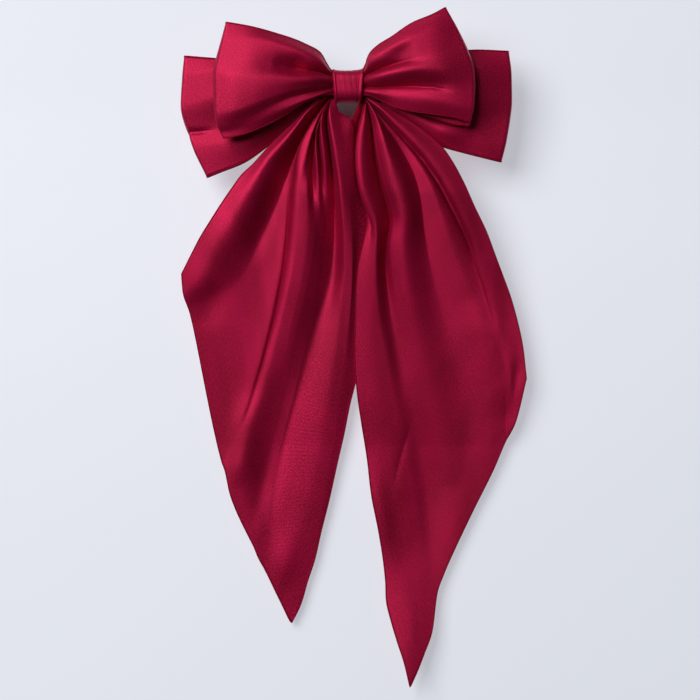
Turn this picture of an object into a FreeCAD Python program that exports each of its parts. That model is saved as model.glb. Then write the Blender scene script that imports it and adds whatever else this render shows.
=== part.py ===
import FreeCAD, Part
import os
import sys

import Sketcher
from FreeCAD import Placement, Rotation, Vector

# A long-tail satin hair bow on a French barrette, worn upright: +X right, +Z up, the bow faces -Y
# and the hair lies on the +Y side.  The origin is the middle of the gap that takes the lock of hair,
# between the tension bar and the clasp arm.  Millimetres.

PARTS_FOLDER = "parts"
SHEET = "dims"

# Driving dimensions.  Every length is in mm and every angle in degrees.
SIZES = {
    # base plate: a bowed strip whose middle stands off towards the bow
    "plate_half_length": 40.5,
    "plate_sag": 3.5,
    "plate_width": 9.0,
    "plate_thickness": 0.8,
    "plate_mid_back": -7.0,
    "sewing_hole_spacing": 54.0,
    "sewing_hole_radius": 1.1,
    # hinge at the left end
    "hinge_reach": 37.0,
    "hinge_level": 4.75,
    "lug_radius": 1.8,
    "lug_thickness": 0.8,
    "lug_foot_spread": 0.8,
    "lug_gap_lift": 0.02,
    "lug_gap_margin": 1.0,
    "pin_radius": 0.8,
    "pin_head_radius": 1.3,
    "pin_head_thickness": 0.4,
    "running_clearance": 0.05,
    # tension bar: a spring strip bowed towards the hair
    "bar_half_length": 33.2,
    "bar_sag": 1.8,
    "bar_width": 6.0,
    "bar_thickness": 0.5,
    "bar_mid_back": -2.3,
    "keeper_inner_reach": 31.4,
    "keeper_length": 1.4,
    "keeper_leg": 0.6,
    "keeper_strap": 0.5,
    "keeper_floor": -4.68,
    "keeper_play": 0.4,
    "keeper_clearance": 0.15,
    "keeper_margin": 0.1,
    # clasp arm: closes behind the hair
    "arm_half_length": 37.0,
    "arm_sag": 2.0,
    "arm_width": 6.0,
    "arm_thickness": 0.9,
    "arm_mid_front": 2.3,
    "eye_radius": 1.5,
    "eye_width": 6.6,
    "frame_inner_reach": 35.5,
    "frame_outer_reach": 41.0,
    "frame_width": 9.0,
    "window_inner_reach": 37.0,
    "window_outer_reach": 40.0,
    "window_width": 6.8,
    # catch at the right end
    "bracket_inner_reach": 34.6,
    "bracket_outer_reach": 40.2,
    "bracket_width": 8.4,
    "bracket_top": -2.7,
    "bracket_seat_gap": 0.03,
    "ear_inner_reach": 37.4,
    "ear_length": 2.2,
    "ear_thickness": 0.5,
    "ear_barrel_radius": 0.45,
    "ear_spacing": 5.2,
    "ear_tip": 8.2,
    "rivet_reach": 35.9,
    "rivet_spacing": 4.4,
    "rivet_radius": 0.6,
    "rivet_head_radius": 1.0,
    "rivet_head_thickness": 0.42,
    "rivet_front": -5.22,
    # fabric core inside the knot: three gathered layers stacked in front of the plate
    "core_half_height": 6.2,
    "core_reach": 8.4,
    "front_core_level": -18.2,
    "front_core_thickness": 3.0,
    "tail_core_level": -14.0,
    "tail_core_thickness": 3.0,
    "rear_core_level": -9.95,
    "rear_core_thickness": 2.8,
    # gathering threads
    "thread_radius": 0.25,
    "thread_gap": 0.03,
    "thread_pitch": 1.1,
    "thread_corner": 0.32,
    # knot wrap
    "knot_width": 15.6,
    "knot_half_height": 8.0,
    "knot_front": -21.7,
    "knot_back": -5.7,
    "knot_fabric": 1.05,
    "knot_corner": 2.4,
    "stitch_length": 2.4,
    "stitch_pitch": 1.5,
    "stitch_radius": 0.25,
    "stitch_gap": 0.01,
    # anchor stitches through the sewing holes
    "anchor_pitch": 0.8,
    "anchor_radius": 0.22,
    "anchor_bite": 0.56,
    "anchor_corner": 0.5,
    "anchor_gap": 0.05,
}

# Outlines.  Each is a list of corners seen from the front (X, Z) or from above (X, Y) or the side (Y, Z).
OUTLINES = {
    "front_bow_face": [
        (-8.4, 6.2), (-12.0, 15.0), (-24.0, 21.8), (-57.4, 29.4), (-63.7, -6.9), (-58.6, -25.0),
        (-30.0, -14.5), (-8.4, -6.2), (8.4, -6.2), (25.0, -11.5), (58.3, -18.9), (60.2, 1.0),
        (45.8, 36.1), (28.0, 28.8), (13.0, 17.5), (8.4, 6.2),
    ],
    "front_bow_plan": [
        (-64.0, -24.5), (-57.0, -29.0), (-38.0, -31.0), (-20.0, -26.5), (-8.4, -19.7), (8.4, -19.7),
        (20.0, -26.5), (38.0, -31.0), (55.0, -29.0), (61.0, -24.5), (61.0, -19.0), (50.0, -16.7),
        (-50.0, -16.7), (-64.0, -19.0),
    ],
    "rear_bow_face": [
        (-8.4, 6.2), (-25.0, 10.5), (-77.8, 14.7), (-79.1, -9.2), (-75.6, -21.3), (-67.1, -43.0),
        (-38.0, -28.5), (-8.4, -6.2), (8.4, -6.2), (44.0, -28.5), (72.7, -35.5), (76.6, -10.9),
        (77.8, 2.8), (76.1, 17.0), (25.0, 12.5), (8.4, 6.2),
    ],
    "rear_bow_plan": [
        (-79.2, -12.5), (-70.0, -15.6), (-48.0, -15.2), (-40.0, -12.0), (-8.4, -11.35), (8.4, -11.35),
        (46.0, -12.0), (54.0, -15.2), (70.0, -15.6), (78.0, -12.5), (78.0, -9.5), (70.0, -6.5),
        (40.0, -6.5), (8.4, -8.55), (-8.4, -8.55), (-40.0, -6.5), (-70.0, -6.5), (-79.2, -9.5),
    ],
    "tail_gather_face": [
        (-8.4, 5.5), (-19.5, -7.5), (-19.5, -10.3), (-8.4, -10.3), (-8.4, -6.2), (8.4, -6.2),
        (8.4, -10.3), (17.5, -10.3), (17.5, -8.5), (8.4, 5.5),
    ],
    "tail_left_face": [
        (-19.5, -10.9), (-50.0, -41.5), (-78.9, -87.0), (-79.5, -92.0), (-70.0, -132.5), (-60.2, -182.0),
        (-50.0, -207.0), (-27.4, -254.8), (-20.0, -234.5), (-10.0, -196.5), (0.5, -150.0), (2.2, -125.0),
        (2.2, -17.0), (-6.5, -12.4), (-9.0, -10.9),
    ],
    "tail_right_face": [
        (9.0, -10.9), (17.5, -10.9), (43.0, -26.5), (70.0, -79.5), (80.0, -108.0), (85.3, -138.5),
        (79.5, -160.0), (60.0, -200.5), (42.8, -243.0), (38.0, -265.5), (30.0, -284.6), (18.6, -244.0),
        (10.0, -181.0), (2.8, -130.0), (2.8, -17.0),
    ],
    "tail_side": [
        (-15.5, -10.9), (-12.6, -10.9), (-12.6, -50.0), (-6.5, -110.0), (-3.0, -170.0), (-2.5, -285.0),
        (-7.0, -285.0), (-10.5, -170.0), (-15.0, -110.0), (-19.5, -50.0), (-16.5, -25.0),
    ],
}

# The two corners of rear_bow_plan that bound the slope of its back, where the anchor stitches enter.
BOW_BACK_SLOPE = slice(12, 14)

doc = FreeCAD.newDocument("hair_bow")


class Size:
    """A length that is known now and stays bound to the sheet through its expression."""

    def __init__(self, value, text):
        self.value = value
        self.text = text

    def __add__(self, other):
        other = as_size(other)
        return Size(self.value + other.value, f"({self.text} + {other.text})")

    def __sub__(self, other):
        other = as_size(other)
        return Size(self.value - other.value, f"({self.text} - {other.text})")

    def __mul__(self, other):
        other = as_size(other)
        return Size(self.value * other.value, f"({self.text} * {other.text})")

    def __truediv__(self, other):
        other = as_size(other)
        return Size(self.value / other.value, f"({self.text} / {other.text})")

    def __neg__(self):
        return Size(-self.value, f"(0 - {self.text})")


def as_size(item):
    if isinstance(item, Size):
        return item
    return Size(float(item), f"({item})")


def make_sheet():
    """Write every driving dimension and outline corner into the spreadsheet, one alias each."""
    sheet = doc.addObject("Spreadsheet::Sheet", SHEET)
    cells = dict(SIZES)
    for outline, corners in OUTLINES.items():
        for index, (across, along) in enumerate(corners):
            cells[f"{outline}_{index}_across"] = across
            cells[f"{outline}_{index}_along"] = along
    for row, (alias, value) in enumerate(cells.items(), start=1):
        sheet.set(f"A{row}", alias)
        sheet.set(f"B{row}", str(value))
        sheet.setAlias(f"B{row}", alias)
    doc.recompute()
    return cells


CELLS = make_sheet()


def size(alias):
    return Size(CELLS[alias], f"{SHEET}.{alias}")


def value(alias):
    return CELLS[alias]


def bind(item, name, length):
    """Set a property and bind it to the sheet."""
    item.setExpression(name, as_size(length).text)


def outline_points(name):
    count = len(OUTLINES[name])
    return [(size(f"{name}_{i}_across"), size(f"{name}_{i}_along")) for i in range(count)]


# ---- sketches -------------------------------------------------------------------------------------


def pin_point(sketch, geometry, end, across, along):
    """Fix one end of a sketch element at a bound distance from the sketch's origin."""
    for kind, length in (("DistanceX", across), ("DistanceY", along)):
        index = sketch.addConstraint(Sketcher.Constraint(kind, -1, 1, geometry, end, length.value))
        sketch.setExpression(f"Constraints[{index}]", length.text)


def draw_polygon(sketch, points):
    """Closed outline of straight edges through the bound corners."""
    first = sketch.GeometryCount
    count = len(points)
    for i in range(count):
        start = points[i]
        stop = points[(i + 1) % count]
        segment = Part.LineSegment(
            Vector(start[0].value, start[1].value, 0), Vector(stop[0].value, stop[1].value, 0)
        )
        sketch.addGeometry(segment, False)
    for i in range(count):
        following = first + (i + 1) % count
        sketch.addConstraint(Sketcher.Constraint("Coincident", first + i, 2, following, 1))
        pin_point(sketch, first + i, 1, *points[i])


def draw_rectangle(sketch, low, high):
    """Rectangle from its low corner to its high corner."""
    draw_polygon(sketch, [low, (high[0], low[1]), high, (low[0], high[1])])


def draw_circle(sketch, across, along, radius):
    circle = Part.Circle(Vector(across.value, along.value, 0), Vector(0, 0, 1), radius.value)
    geometry = sketch.addGeometry(circle, False)
    pin_point(sketch, geometry, 3, across, along)
    index = sketch.addConstraint(Sketcher.Constraint("Radius", geometry, radius.value))
    sketch.setExpression(f"Constraints[{index}]", radius.text)


def draw_bowed_band(sketch, half_length, middle, sag, thickness):
    """Band between two equal arcs: its front passes through (0, middle) and its ends lie sag further."""
    radius = half_length * half_length / (as_size(2) * sag) + sag / 2
    if radius.value < 0:
        radius = -radius
    end = middle + sag
    corners = []
    for shift in (as_size(0), thickness):
        left = Vector(-half_length.value, (end + shift).value, 0)
        crown = Vector(0, (middle + shift).value, 0)
        right = Vector(half_length.value, (end + shift).value, 0)
        arc = sketch.addGeometry(Part.Arc(left, crown, right), False)
        index = sketch.addConstraint(Sketcher.Constraint("Radius", arc, radius.value))
        sketch.setExpression(f"Constraints[{index}]", radius.text)
        starts_left = sketch.getPoint(arc, 1).x < 0
        ends = {"left": 1 if starts_left else 2, "right": 2 if starts_left else 1}
        pin_point(sketch, arc, ends["left"], -half_length, end + shift)
        pin_point(sketch, arc, ends["right"], half_length, end + shift)
        corners.append((arc, ends))
    for side in ("left", "right"):
        (front, front_ends), (back, back_ends) = corners
        segment = Part.LineSegment(
            sketch.getPoint(front, front_ends[side]), sketch.getPoint(back, back_ends[side])
        )
        line = sketch.addGeometry(segment, False)
        sketch.addConstraint(Sketcher.Constraint("Coincident", line, 1, front, front_ends[side]))
        sketch.addConstraint(Sketcher.Constraint("Coincident", line, 2, back, back_ends[side]))


def draw_lug(sketch, across, along, radius, foot_left, foot_right):
    """Upright cheek: a foot, two flanks and a half-round head about the hinge axis."""
    left = Vector(across.value - radius.value, along.value, 0)
    top = Vector(across.value, along.value + radius.value, 0)
    right = Vector(across.value + radius.value, along.value, 0)
    arc = sketch.addGeometry(Part.Arc(left, top, right), False)
    starts_left = sketch.getPoint(arc, 1).x < across.value
    left_end, right_end = (1, 2) if starts_left else (2, 1)
    pin_point(sketch, arc, left_end, across - radius, along)
    pin_point(sketch, arc, right_end, across + radius, along)
    index = sketch.addConstraint(Sketcher.Constraint("DistanceY", -1, 1, arc, 3, along.value))
    sketch.setExpression(f"Constraints[{index}]", along.text)
    feet = [Vector(foot[0].value, foot[1].value, 0) for foot in (foot_left, foot_right)]
    down = sketch.addGeometry(Part.LineSegment(right, feet[1]), False)
    base = sketch.addGeometry(Part.LineSegment(feet[1], feet[0]), False)
    rise = sketch.addGeometry(Part.LineSegment(feet[0], left), False)
    sketch.addConstraint(Sketcher.Constraint("Coincident", down, 1, arc, right_end))
    sketch.addConstraint(Sketcher.Constraint("Coincident", down, 2, base, 1))
    sketch.addConstraint(Sketcher.Constraint("Coincident", base, 2, rise, 1))
    sketch.addConstraint(Sketcher.Constraint("Coincident", rise, 2, arc, left_end))
    pin_point(sketch, down, 2, *foot_right)
    pin_point(sketch, base, 2, *foot_left)


# ---- bodies and features --------------------------------------------------------------------------


def new_body(label):
    body = doc.addObject("PartDesign::Body", label)
    body.Label = label
    return body


def new_sketch(body, name, role):
    """Sketch on one of the body's own origin planes: XY_Plane, XZ_Plane or YZ_Plane."""
    sketch = body.newObject("Sketcher::SketchObject", name)
    plane = [item for item in body.Origin.OriginFeatures if item.Role == role][0]
    sketch.AttachmentSupport = [(plane, "")]
    sketch.MapMode = "FlatFace"
    return sketch


def pad_both_ways(body, sketch, name, length):
    """Pad that reaches equally far on both sides of its sketch."""
    pad = body.newObject("PartDesign::Pad", name)
    pad.Profile = sketch
    pad.SideType = "Symmetric"
    bind(pad, "Length", length)
    doc.recompute()
    return pad


def pocket_both_ways(body, sketch, name, length):
    """Pocket that cuts equally far on both sides of its sketch, and must remove something."""
    before = body.Shape.Volume
    pocket = body.newObject("PartDesign::Pocket", name)
    pocket.Profile = sketch
    pocket.SideType = "Symmetric"
    bind(pocket, "Length", length)
    doc.recompute()
    if not body.Shape.Volume < before - 1e-6:
        sys.exit(f"{name} in {body.Label} cut nothing")
    return pocket


def cylinder(name, radius, height, base, direction):
    """Part::Cylinder whose axis runs from base along direction."""
    item = doc.addObject("Part::Cylinder", name)
    bind(item, "Radius", radius)
    bind(item, "Height", height)
    item.Placement = Placement(Vector(0, 0, 0), Rotation(Vector(0, 0, 1), direction))
    for axis, length in zip("xyz", base):
        bind(item, f"Placement.Base.{axis}", length)
    return item


def fused(label, pieces):
    item = doc.addObject("Part::MultiFuse", label)
    item.Shapes = pieces
    item.Label = label
    return item


def grouped(label, pieces):
    """Node that holds several separate solids."""
    item = doc.addObject("Part::Compound", label)
    item.Links = pieces
    item.Label = label
    return item


def solid_feature(label, shape):
    item = doc.addObject("Part::Feature", label)
    item.Shape = shape
    item.Label = label
    return item


# ---- barrette -------------------------------------------------------------------------------------


def plate_back(across):
    """Level of the plate's back face at a distance along the plate, close to its arc."""
    share = across / size("plate_half_length")
    return size("plate_mid_back") + size("plate_sag") * share * share


def make_base_plate():
    body = new_body("base_plate")
    width = size("plate_width")
    strip = new_sketch(body, "plate_strip_sketch", "XY_Plane")
    front = size("plate_mid_back") - size("plate_thickness")
    draw_bowed_band(strip, size("plate_half_length"), front, size("plate_sag"), size("plate_thickness"))
    pad_both_ways(body, strip, "plate_strip", width)

    reach = -size("hinge_reach")
    spread = size("lug_radius") + size("lug_foot_spread")
    sink = size("plate_thickness") / 2
    foot_left = (reach - spread, plate_back(reach - spread) - sink)
    foot_right = (reach + spread, plate_back(reach + spread) - sink)
    lugs = new_sketch(body, "lug_sketch", "XY_Plane")
    draw_lug(lugs, reach, size("hinge_level"), size("lug_radius"), foot_left, foot_right)
    pad_both_ways(body, lugs, "lugs", width)
    between = new_sketch(body, "lug_gap_sketch", "XY_Plane")
    margin = size("lug_gap_margin")
    low = (reach - spread - margin, plate_back(reach - spread) + size("lug_gap_lift"))
    high = (reach + spread + margin, size("hinge_level") + size("lug_radius") + margin)
    draw_rectangle(between, low, high)
    pocket_both_ways(body, between, "lug_gap", width - size("lug_thickness") * 2)

    bar_back_at_end = size("bar_mid_back") - size("bar_sag")
    strap_low = bar_back_at_end + size("keeper_clearance") + size("keeper_play") / 2
    straps = new_sketch(body, "keeper_sketch", "XY_Plane")
    gaps = new_sketch(body, "keeper_gap_sketch", "XY_Plane")
    near = size("keeper_inner_reach")
    far = near + size("keeper_length")
    foot = plate_back(near) - sink
    top = strap_low + size("keeper_strap")
    over = size("keeper_margin")
    for low_x, high_x in ((near, far), (-far, -near)):
        draw_rectangle(straps, (low_x, foot), (high_x, top))
        draw_rectangle(gaps, (low_x - over, size("keeper_floor")), (high_x + over, strap_low))
    keeper_gap = size("bar_width") + size("keeper_play") * 2
    pad_both_ways(body, straps, "keepers", keeper_gap + size("keeper_leg") * 2)
    pocket_both_ways(body, gaps, "keeper_gaps", keeper_gap)

    pin = new_sketch(body, "pin_hole_sketch", "XY_Plane")
    draw_circle(pin, reach, size("hinge_level"), size("pin_radius"))
    pocket_both_ways(body, pin, "pin_hole", width * 2)

    holes = new_sketch(body, "face_hole_sketch", "XZ_Plane")
    sewing = size("sewing_hole_spacing") / 2
    for across in (sewing, -sewing):
        draw_circle(holes, across, as_size(0), size("sewing_hole_radius"))
    for up in (size("rivet_spacing") / 2, -size("rivet_spacing") / 2):
        draw_circle(holes, size("rivet_reach"), up, size("rivet_radius") + size("running_clearance"))
    pocket_both_ways(body, holes, "face_holes", size("plate_half_length"))
    return body


def make_tension_bar():
    body = new_body("tension_bar")
    sketch = new_sketch(body, "bar_sketch", "XY_Plane")
    front = size("bar_mid_back") - size("bar_thickness")
    draw_bowed_band(sketch, size("bar_half_length"), front, -size("bar_sag"), size("bar_thickness"))
    pad_both_ways(body, sketch, "bar_strip", size("bar_width"))
    return body


def make_clasp_arm():
    body = new_body("clasp_arm")
    front = size("arm_mid_front")
    strip = new_sketch(body, "arm_strip_sketch", "XY_Plane")
    draw_bowed_band(strip, size("arm_half_length"), front, size("arm_sag"), size("arm_thickness"))
    pad_both_ways(body, strip, "arm_strip", size("arm_width"))
    frame = new_sketch(body, "arm_frame_sketch", "XY_Plane")
    level = front + size("arm_sag")
    draw_rectangle(
        frame,
        (size("frame_inner_reach"), level),
        (size("frame_outer_reach"), level + size("arm_thickness")),
    )
    pad_both_ways(body, frame, "arm_frame", size("frame_width"))
    eye = new_sketch(body, "eye_sketch", "XY_Plane")
    draw_circle(eye, -size("hinge_reach"), size("hinge_level"), size("eye_radius"))
    pad_both_ways(body, eye, "eye", size("eye_width"))
    bore = new_sketch(body, "bore_sketch", "XY_Plane")
    bore_radius = size("pin_radius") + size("running_clearance")
    draw_circle(bore, -size("hinge_reach"), size("hinge_level"), bore_radius)
    pocket_both_ways(body, bore, "bore", size("eye_width") * 2)
    window = new_sketch(body, "window_sketch", "XZ_Plane")
    half = size("window_width") / 2
    draw_rectangle(window, (size("window_inner_reach"), -half), (size("window_outer_reach"), half))
    pocket_both_ways(body, window, "window", size("frame_outer_reach"))
    return body


def make_hinge_pin():
    up = Vector(0, 0, 1)
    half = size("plate_width") / 2
    head = size("pin_head_thickness")
    at = (-size("hinge_reach"), size("hinge_level"))
    shank = cylinder("pin_shank", size("pin_radius"), half * 2, (*at, -half), up)
    top = cylinder("pin_top_head", size("pin_head_radius"), head, (*at, half), up)
    bottom = cylinder("pin_bottom_head", size("pin_head_radius"), head, (*at, -half - head), up)
    return fused("hinge_pin", [shank, top, bottom])


def make_catch_bracket():
    body = new_body("catch_bracket")
    near = size("bracket_inner_reach")
    far = size("bracket_outer_reach")
    seat = size("bracket_seat_gap")
    top = size("bracket_top")
    block = new_sketch(body, "bracket_sketch", "XY_Plane")
    foot = [(near, plate_back(near) + seat), (far, plate_back(far) + seat)]
    draw_polygon(block, [*foot, (far, top), (near, top)])
    pad_both_ways(body, block, "bracket_block", size("bracket_width"))
    grooves = new_sketch(body, "groove_sketch", "YZ_Plane")
    for up in (size("ear_spacing") / 2, -size("ear_spacing") / 2):
        draw_circle(grooves, top, up, size("ear_barrel_radius") + size("running_clearance"))
    pocket_both_ways(body, grooves, "ear_grooves", far * 3)
    holes = new_sketch(body, "bracket_hole_sketch", "XZ_Plane")
    for up in (size("rivet_spacing") / 2, -size("rivet_spacing") / 2):
        draw_circle(holes, size("rivet_reach"), up, size("rivet_radius") + size("running_clearance"))
    pocket_both_ways(body, holes, "bracket_holes", far)
    return body


def make_catch_ear(label, side):
    """Spring finger with a round root that turns in the bracket's groove; side is +1 up, -1 down."""
    reach = size("ear_inner_reach")
    length = size("ear_length")
    level = size("bracket_top")
    height = size("ear_spacing") / 2 * side
    root = (reach, level, height)
    barrel = cylinder(f"{label}_barrel", size("ear_barrel_radius"), length, root, Vector(1, 0, 0))
    leaf = doc.addObject("Part::Box", f"{label}_leaf")
    bind(leaf, "Length", length)
    bind(leaf, "Width", size("ear_tip") - level)
    bind(leaf, "Height", size("ear_thickness"))
    for axis, place in zip("xyz", (reach, level, height - size("ear_thickness") / 2)):
        bind(leaf, f"Placement.Base.{axis}", place)
    return fused(label, [barrel, leaf])


def make_catch_rivets():
    along = Vector(0, 1, 0)
    head = size("rivet_head_thickness")
    front = size("rivet_front")
    top = size("bracket_top")
    reach = size("rivet_reach")
    rivets = []
    shank_radius = size("rivet_radius")
    head_radius = size("rivet_head_radius")
    for name, up in (("upper", size("rivet_spacing") / 2), ("lower", -size("rivet_spacing") / 2)):
        shank = cylinder(f"{name}_shank", shank_radius, top - front, (reach, front, up), along)
        outer = cylinder(f"{name}_front_head", head_radius, head, (reach, front - head, up), along)
        inner = cylinder(f"{name}_back_head", head_radius, head, (reach, top, up), along)
        rivets.append(fused(f"{name}_rivet", [shank, outer, inner]))
    return grouped("catch_rivets", rivets)


# ---- fabric ---------------------------------------------------------------------------------------

FRONT_VIEW = Rotation(Vector(1, 0, 0), 90)
TOP_VIEW = Rotation()
SIDE_VIEW = Rotation(Vector(1, 1, 1), 120)
FAR = 400.0


def extruded(outline, view, direction):
    """Outline drawn in one of the three views and run right through the model along direction."""
    sketch = doc.addObject("Sketcher::SketchObject", f"{outline}_sketch")
    sketch.Placement = Placement(Vector(0, 0, 0), view)
    draw_polygon(sketch, outline_points(outline))
    extrusion = doc.addObject("Part::Extrusion", f"{outline}_extrusion")
    extrusion.Base = sketch
    extrusion.DirMode = "Custom"
    extrusion.Dir = direction
    extrusion.LengthFwd = FAR
    extrusion.LengthRev = FAR
    extrusion.Solid = True
    return extrusion


def common(label, first, second):
    item = doc.addObject("Part::MultiCommon", label)
    item.Shapes = [first, second]
    item.Label = label
    return item


def make_bow(label):
    """Soft loop pair: its face outline from the front cut by its outline from above."""
    face = extruded(f"{label}_face", FRONT_VIEW, Vector(0, 1, 0))
    plan = extruded(f"{label}_plan", TOP_VIEW, Vector(0, 0, 1))
    return common(label, face, plan)


def make_tail(label):
    """Hanging end of the tail strip: its face outline cut by its outline from the side."""
    face = extruded(f"{label}_face", FRONT_VIEW, Vector(0, 1, 0))
    side = doc.getObject("tail_side_extrusion") or extruded("tail_side", SIDE_VIEW, Vector(1, 0, 0))
    return common(label, face, side)


def make_tail_gather():
    """Gathered middle of the tail strip, with a short neck at each side of the knot."""
    body = new_body("tail_gather")
    sketch = new_sketch(body, "tail_gather_sketch", "XZ_Plane")
    draw_polygon(sketch, outline_points("tail_gather_face"))
    pad_both_ways(body, sketch, "tail_gather_pad", size("tail_core_thickness"))
    bind(body, "Placement.Base.y", size("tail_core_level"))
    return body


def rounded_ring(across, low, high, corner, radius):
    """Closed loop of thread of the given radius round a rectangle in the plane X = across."""
    y0, z0 = low
    y1, z1 = high
    bend = corner * (1 - 0.5 ** 0.5)
    edges = []
    corners = [
        ((y0 + corner, z0), (y1 - corner, z0), (y1 - bend, z0 + bend), (y1, z0 + corner)),
        ((y1, z0 + corner), (y1, z1 - corner), (y1 - bend, z1 - bend), (y1 - corner, z1)),
        ((y1 - corner, z1), (y0 + corner, z1), (y0 + bend, z1 - bend), (y0, z1 - corner)),
        ((y0, z1 - corner), (y0, z0 + corner), (y0 + bend, z0 + bend), (y0 + corner, z0)),
    ]
    for points in corners:
        start, turn, middle, stop = [Vector(across, y, z) for y, z in points]
        edges.append(Part.LineSegment(start, turn).toShape())
        edges.append(Part.Arc(turn, middle, stop).toShape())
    path = Part.Wire(edges)
    middle_of_side = Vector(across, y0 + corner, z0)
    section = Part.Wire(Part.makeCircle(radius, middle_of_side, Vector(0, 1, 0)))
    return path.makePipeShell([section], True, False)


def make_gathering_thread(label, core):
    """Three turns of thread pulled tight round one gathered layer inside the knot."""
    radius = value("thread_radius")
    stand_off = radius + value("thread_gap")
    half_thickness = value(f"{core}_core_thickness") / 2 + stand_off
    half_height = value("core_half_height") + stand_off
    level = value(f"{core}_core_level")
    low = (level - half_thickness, -half_height)
    high = (level + half_thickness, half_height)
    turns = []
    for step in (-1, 0, 1):
        across = step * value("thread_pitch")
        turns.append(rounded_ring(across, low, high, value("thread_corner"), radius))
    return solid_feature(label, Part.makeCompound(turns))


def make_anchor_stitches():
    """Two loops of thread at each end: through the sewing hole, over the plate's edge, into the bow."""
    radius = value("anchor_radius")
    clear = value("anchor_gap") + radius
    share = value("sewing_hole_spacing") / 2 / value("plate_half_length")
    plate = value("plate_mid_back") + value("plate_sag") * share ** 2
    (outer_x, outer_y), (inner_x, inner_y) = OUTLINES["rear_bow_plan"][BOW_BACK_SLOPE]
    reach = value("sewing_hole_spacing") / 2
    bow_back = inner_y + (outer_y - inner_y) * (reach - inner_x) / (outer_x - inner_x)
    low = (bow_back - value("anchor_bite"), 0.0)
    high = (plate + clear, value("plate_width") / 2 + clear)
    loops = []
    for side in (-1, 1):
        for step in (-0.5, 0.5):
            across = side * reach + step * value("anchor_pitch")
            loops.append(rounded_ring(across, low, high, value("anchor_corner"), radius))
    return solid_feature("anchor_stitches", Part.makeCompound(loops))


def make_knot_stitches():
    """Short stitches that close the wrap behind the plate."""
    radius = value("stitch_radius")
    level = value("knot_back") + radius + value("stitch_gap")
    half = value("stitch_length") / 2
    stitches = []
    for step in (-2, -1, 0, 1, 2):
        start = Vector(-half, level, step * value("stitch_pitch"))
        stop = Vector(half, level, step * value("stitch_pitch"))
        run = Part.makeCylinder(radius, 2 * half, start, Vector(1, 0, 0))
        stitches.append(run.fuse([Part.makeSphere(radius, start), Part.makeSphere(radius, stop)]))
    return solid_feature("knot_stitches", Part.makeCompound(stitches))


def make_knot_wrap():
    """Band round the three gathered layers and the plate."""
    body = new_body("knot_wrap")
    fabric = size("knot_fabric")
    height = size("knot_half_height")
    outside = new_sketch(body, "knot_outside_sketch", "YZ_Plane")
    draw_rectangle(outside, (size("knot_front"), -height), (size("knot_back"), height))
    pad = pad_both_ways(body, outside, "knot_outside", size("knot_width"))
    long_edges = []
    for index, edge in enumerate(pad.Shape.Edges, start=1):
        direction = edge.tangentAt(edge.FirstParameter)
        if abs(direction.x) > 0.99:
            long_edges.append(f"Edge{index}")
    rounding = body.newObject("PartDesign::Fillet", "knot_rounding")
    rounding.Base = (pad, long_edges)
    bind(rounding, "Radius", size("knot_corner"))
    doc.recompute()
    inside = new_sketch(body, "knot_inside_sketch", "YZ_Plane")
    draw_rectangle(
        inside,
        (size("knot_front") + fabric, -height + fabric),
        (size("knot_back") - fabric, height - fabric),
    )
    pocket_both_ways(body, inside, "knot_inside", size("knot_width") * 2)
    return body


# ---- the assembly ---------------------------------------------------------------------------------


NODES = [
    make_bow("front_bow"),
    make_bow("rear_bow"),
    make_tail_gather(),
    make_tail("tail_left"),
    make_tail("tail_right"),
    make_knot_wrap(),
    make_gathering_thread("front_bow_thread", "front"),
    make_gathering_thread("tail_thread", "tail"),
    make_gathering_thread("rear_bow_thread", "rear"),
    make_knot_stitches(),
    make_anchor_stitches(),
    make_base_plate(),
    make_tension_bar(),
    make_clasp_arm(),
    make_hinge_pin(),
    make_catch_bracket(),
    make_catch_ear("catch_ear_upper", 1),
    make_catch_ear("catch_ear_lower", -1),
    make_catch_rivets(),
]

doc.recompute()

for item in doc.Objects:
    if "Invalid" in item.State or "Error" in item.State:
        sys.exit(f"{item.Label} failed to recompute: {item.State}")

for node in NODES:
    if node.Shape.isNull() or not node.Shape.isValid():
        sys.exit(f"{node.Label} has no valid shape")

os.makedirs(PARTS_FOLDER, exist_ok=True)
for node in NODES:
    node.Shape.exportStep(os.path.join(PARTS_FOLDER, f"{node.Label}.step"))
    box = node.Shape.BoundBox
    across = f"x {box.XMin:7.2f} {box.XMax:7.2f}"
    deep = f"y {box.YMin:7.2f} {box.YMax:7.2f}"
    high = f"z {box.ZMin:7.2f} {box.ZMax:7.2f}"
    print(f"{node.Label:18s} volume {node.Shape.Volume:10.2f}  {across}  {deep}  {high}")
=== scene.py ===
import bpy
import numpy as np
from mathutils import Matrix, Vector


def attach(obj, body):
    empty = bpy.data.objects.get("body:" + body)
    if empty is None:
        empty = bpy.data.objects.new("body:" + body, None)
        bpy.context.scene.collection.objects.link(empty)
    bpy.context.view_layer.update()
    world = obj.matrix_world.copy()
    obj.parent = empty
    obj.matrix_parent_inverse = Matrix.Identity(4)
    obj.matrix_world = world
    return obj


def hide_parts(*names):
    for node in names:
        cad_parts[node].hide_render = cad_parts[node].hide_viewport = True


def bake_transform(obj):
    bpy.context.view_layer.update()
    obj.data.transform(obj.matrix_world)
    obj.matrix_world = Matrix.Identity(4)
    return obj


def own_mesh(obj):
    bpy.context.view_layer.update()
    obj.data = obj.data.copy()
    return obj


MM = 0.001

# Which way points at the viewer: a bow's lines are given in y, a tail's as a height towards the viewer.
BOW_TOWARD = -1
TAIL_TOWARD = 1

# Flat sheets: width and length in metres.
FRONT_BOW_FLAT = (0.053, 0.242)
REAR_BOW_FLAT = (0.054, 0.300)
TAIL_LEFT_FLAT = (0.105, 0.245)
TAIL_RIGHT_FLAT = (0.105, 0.272)

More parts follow.
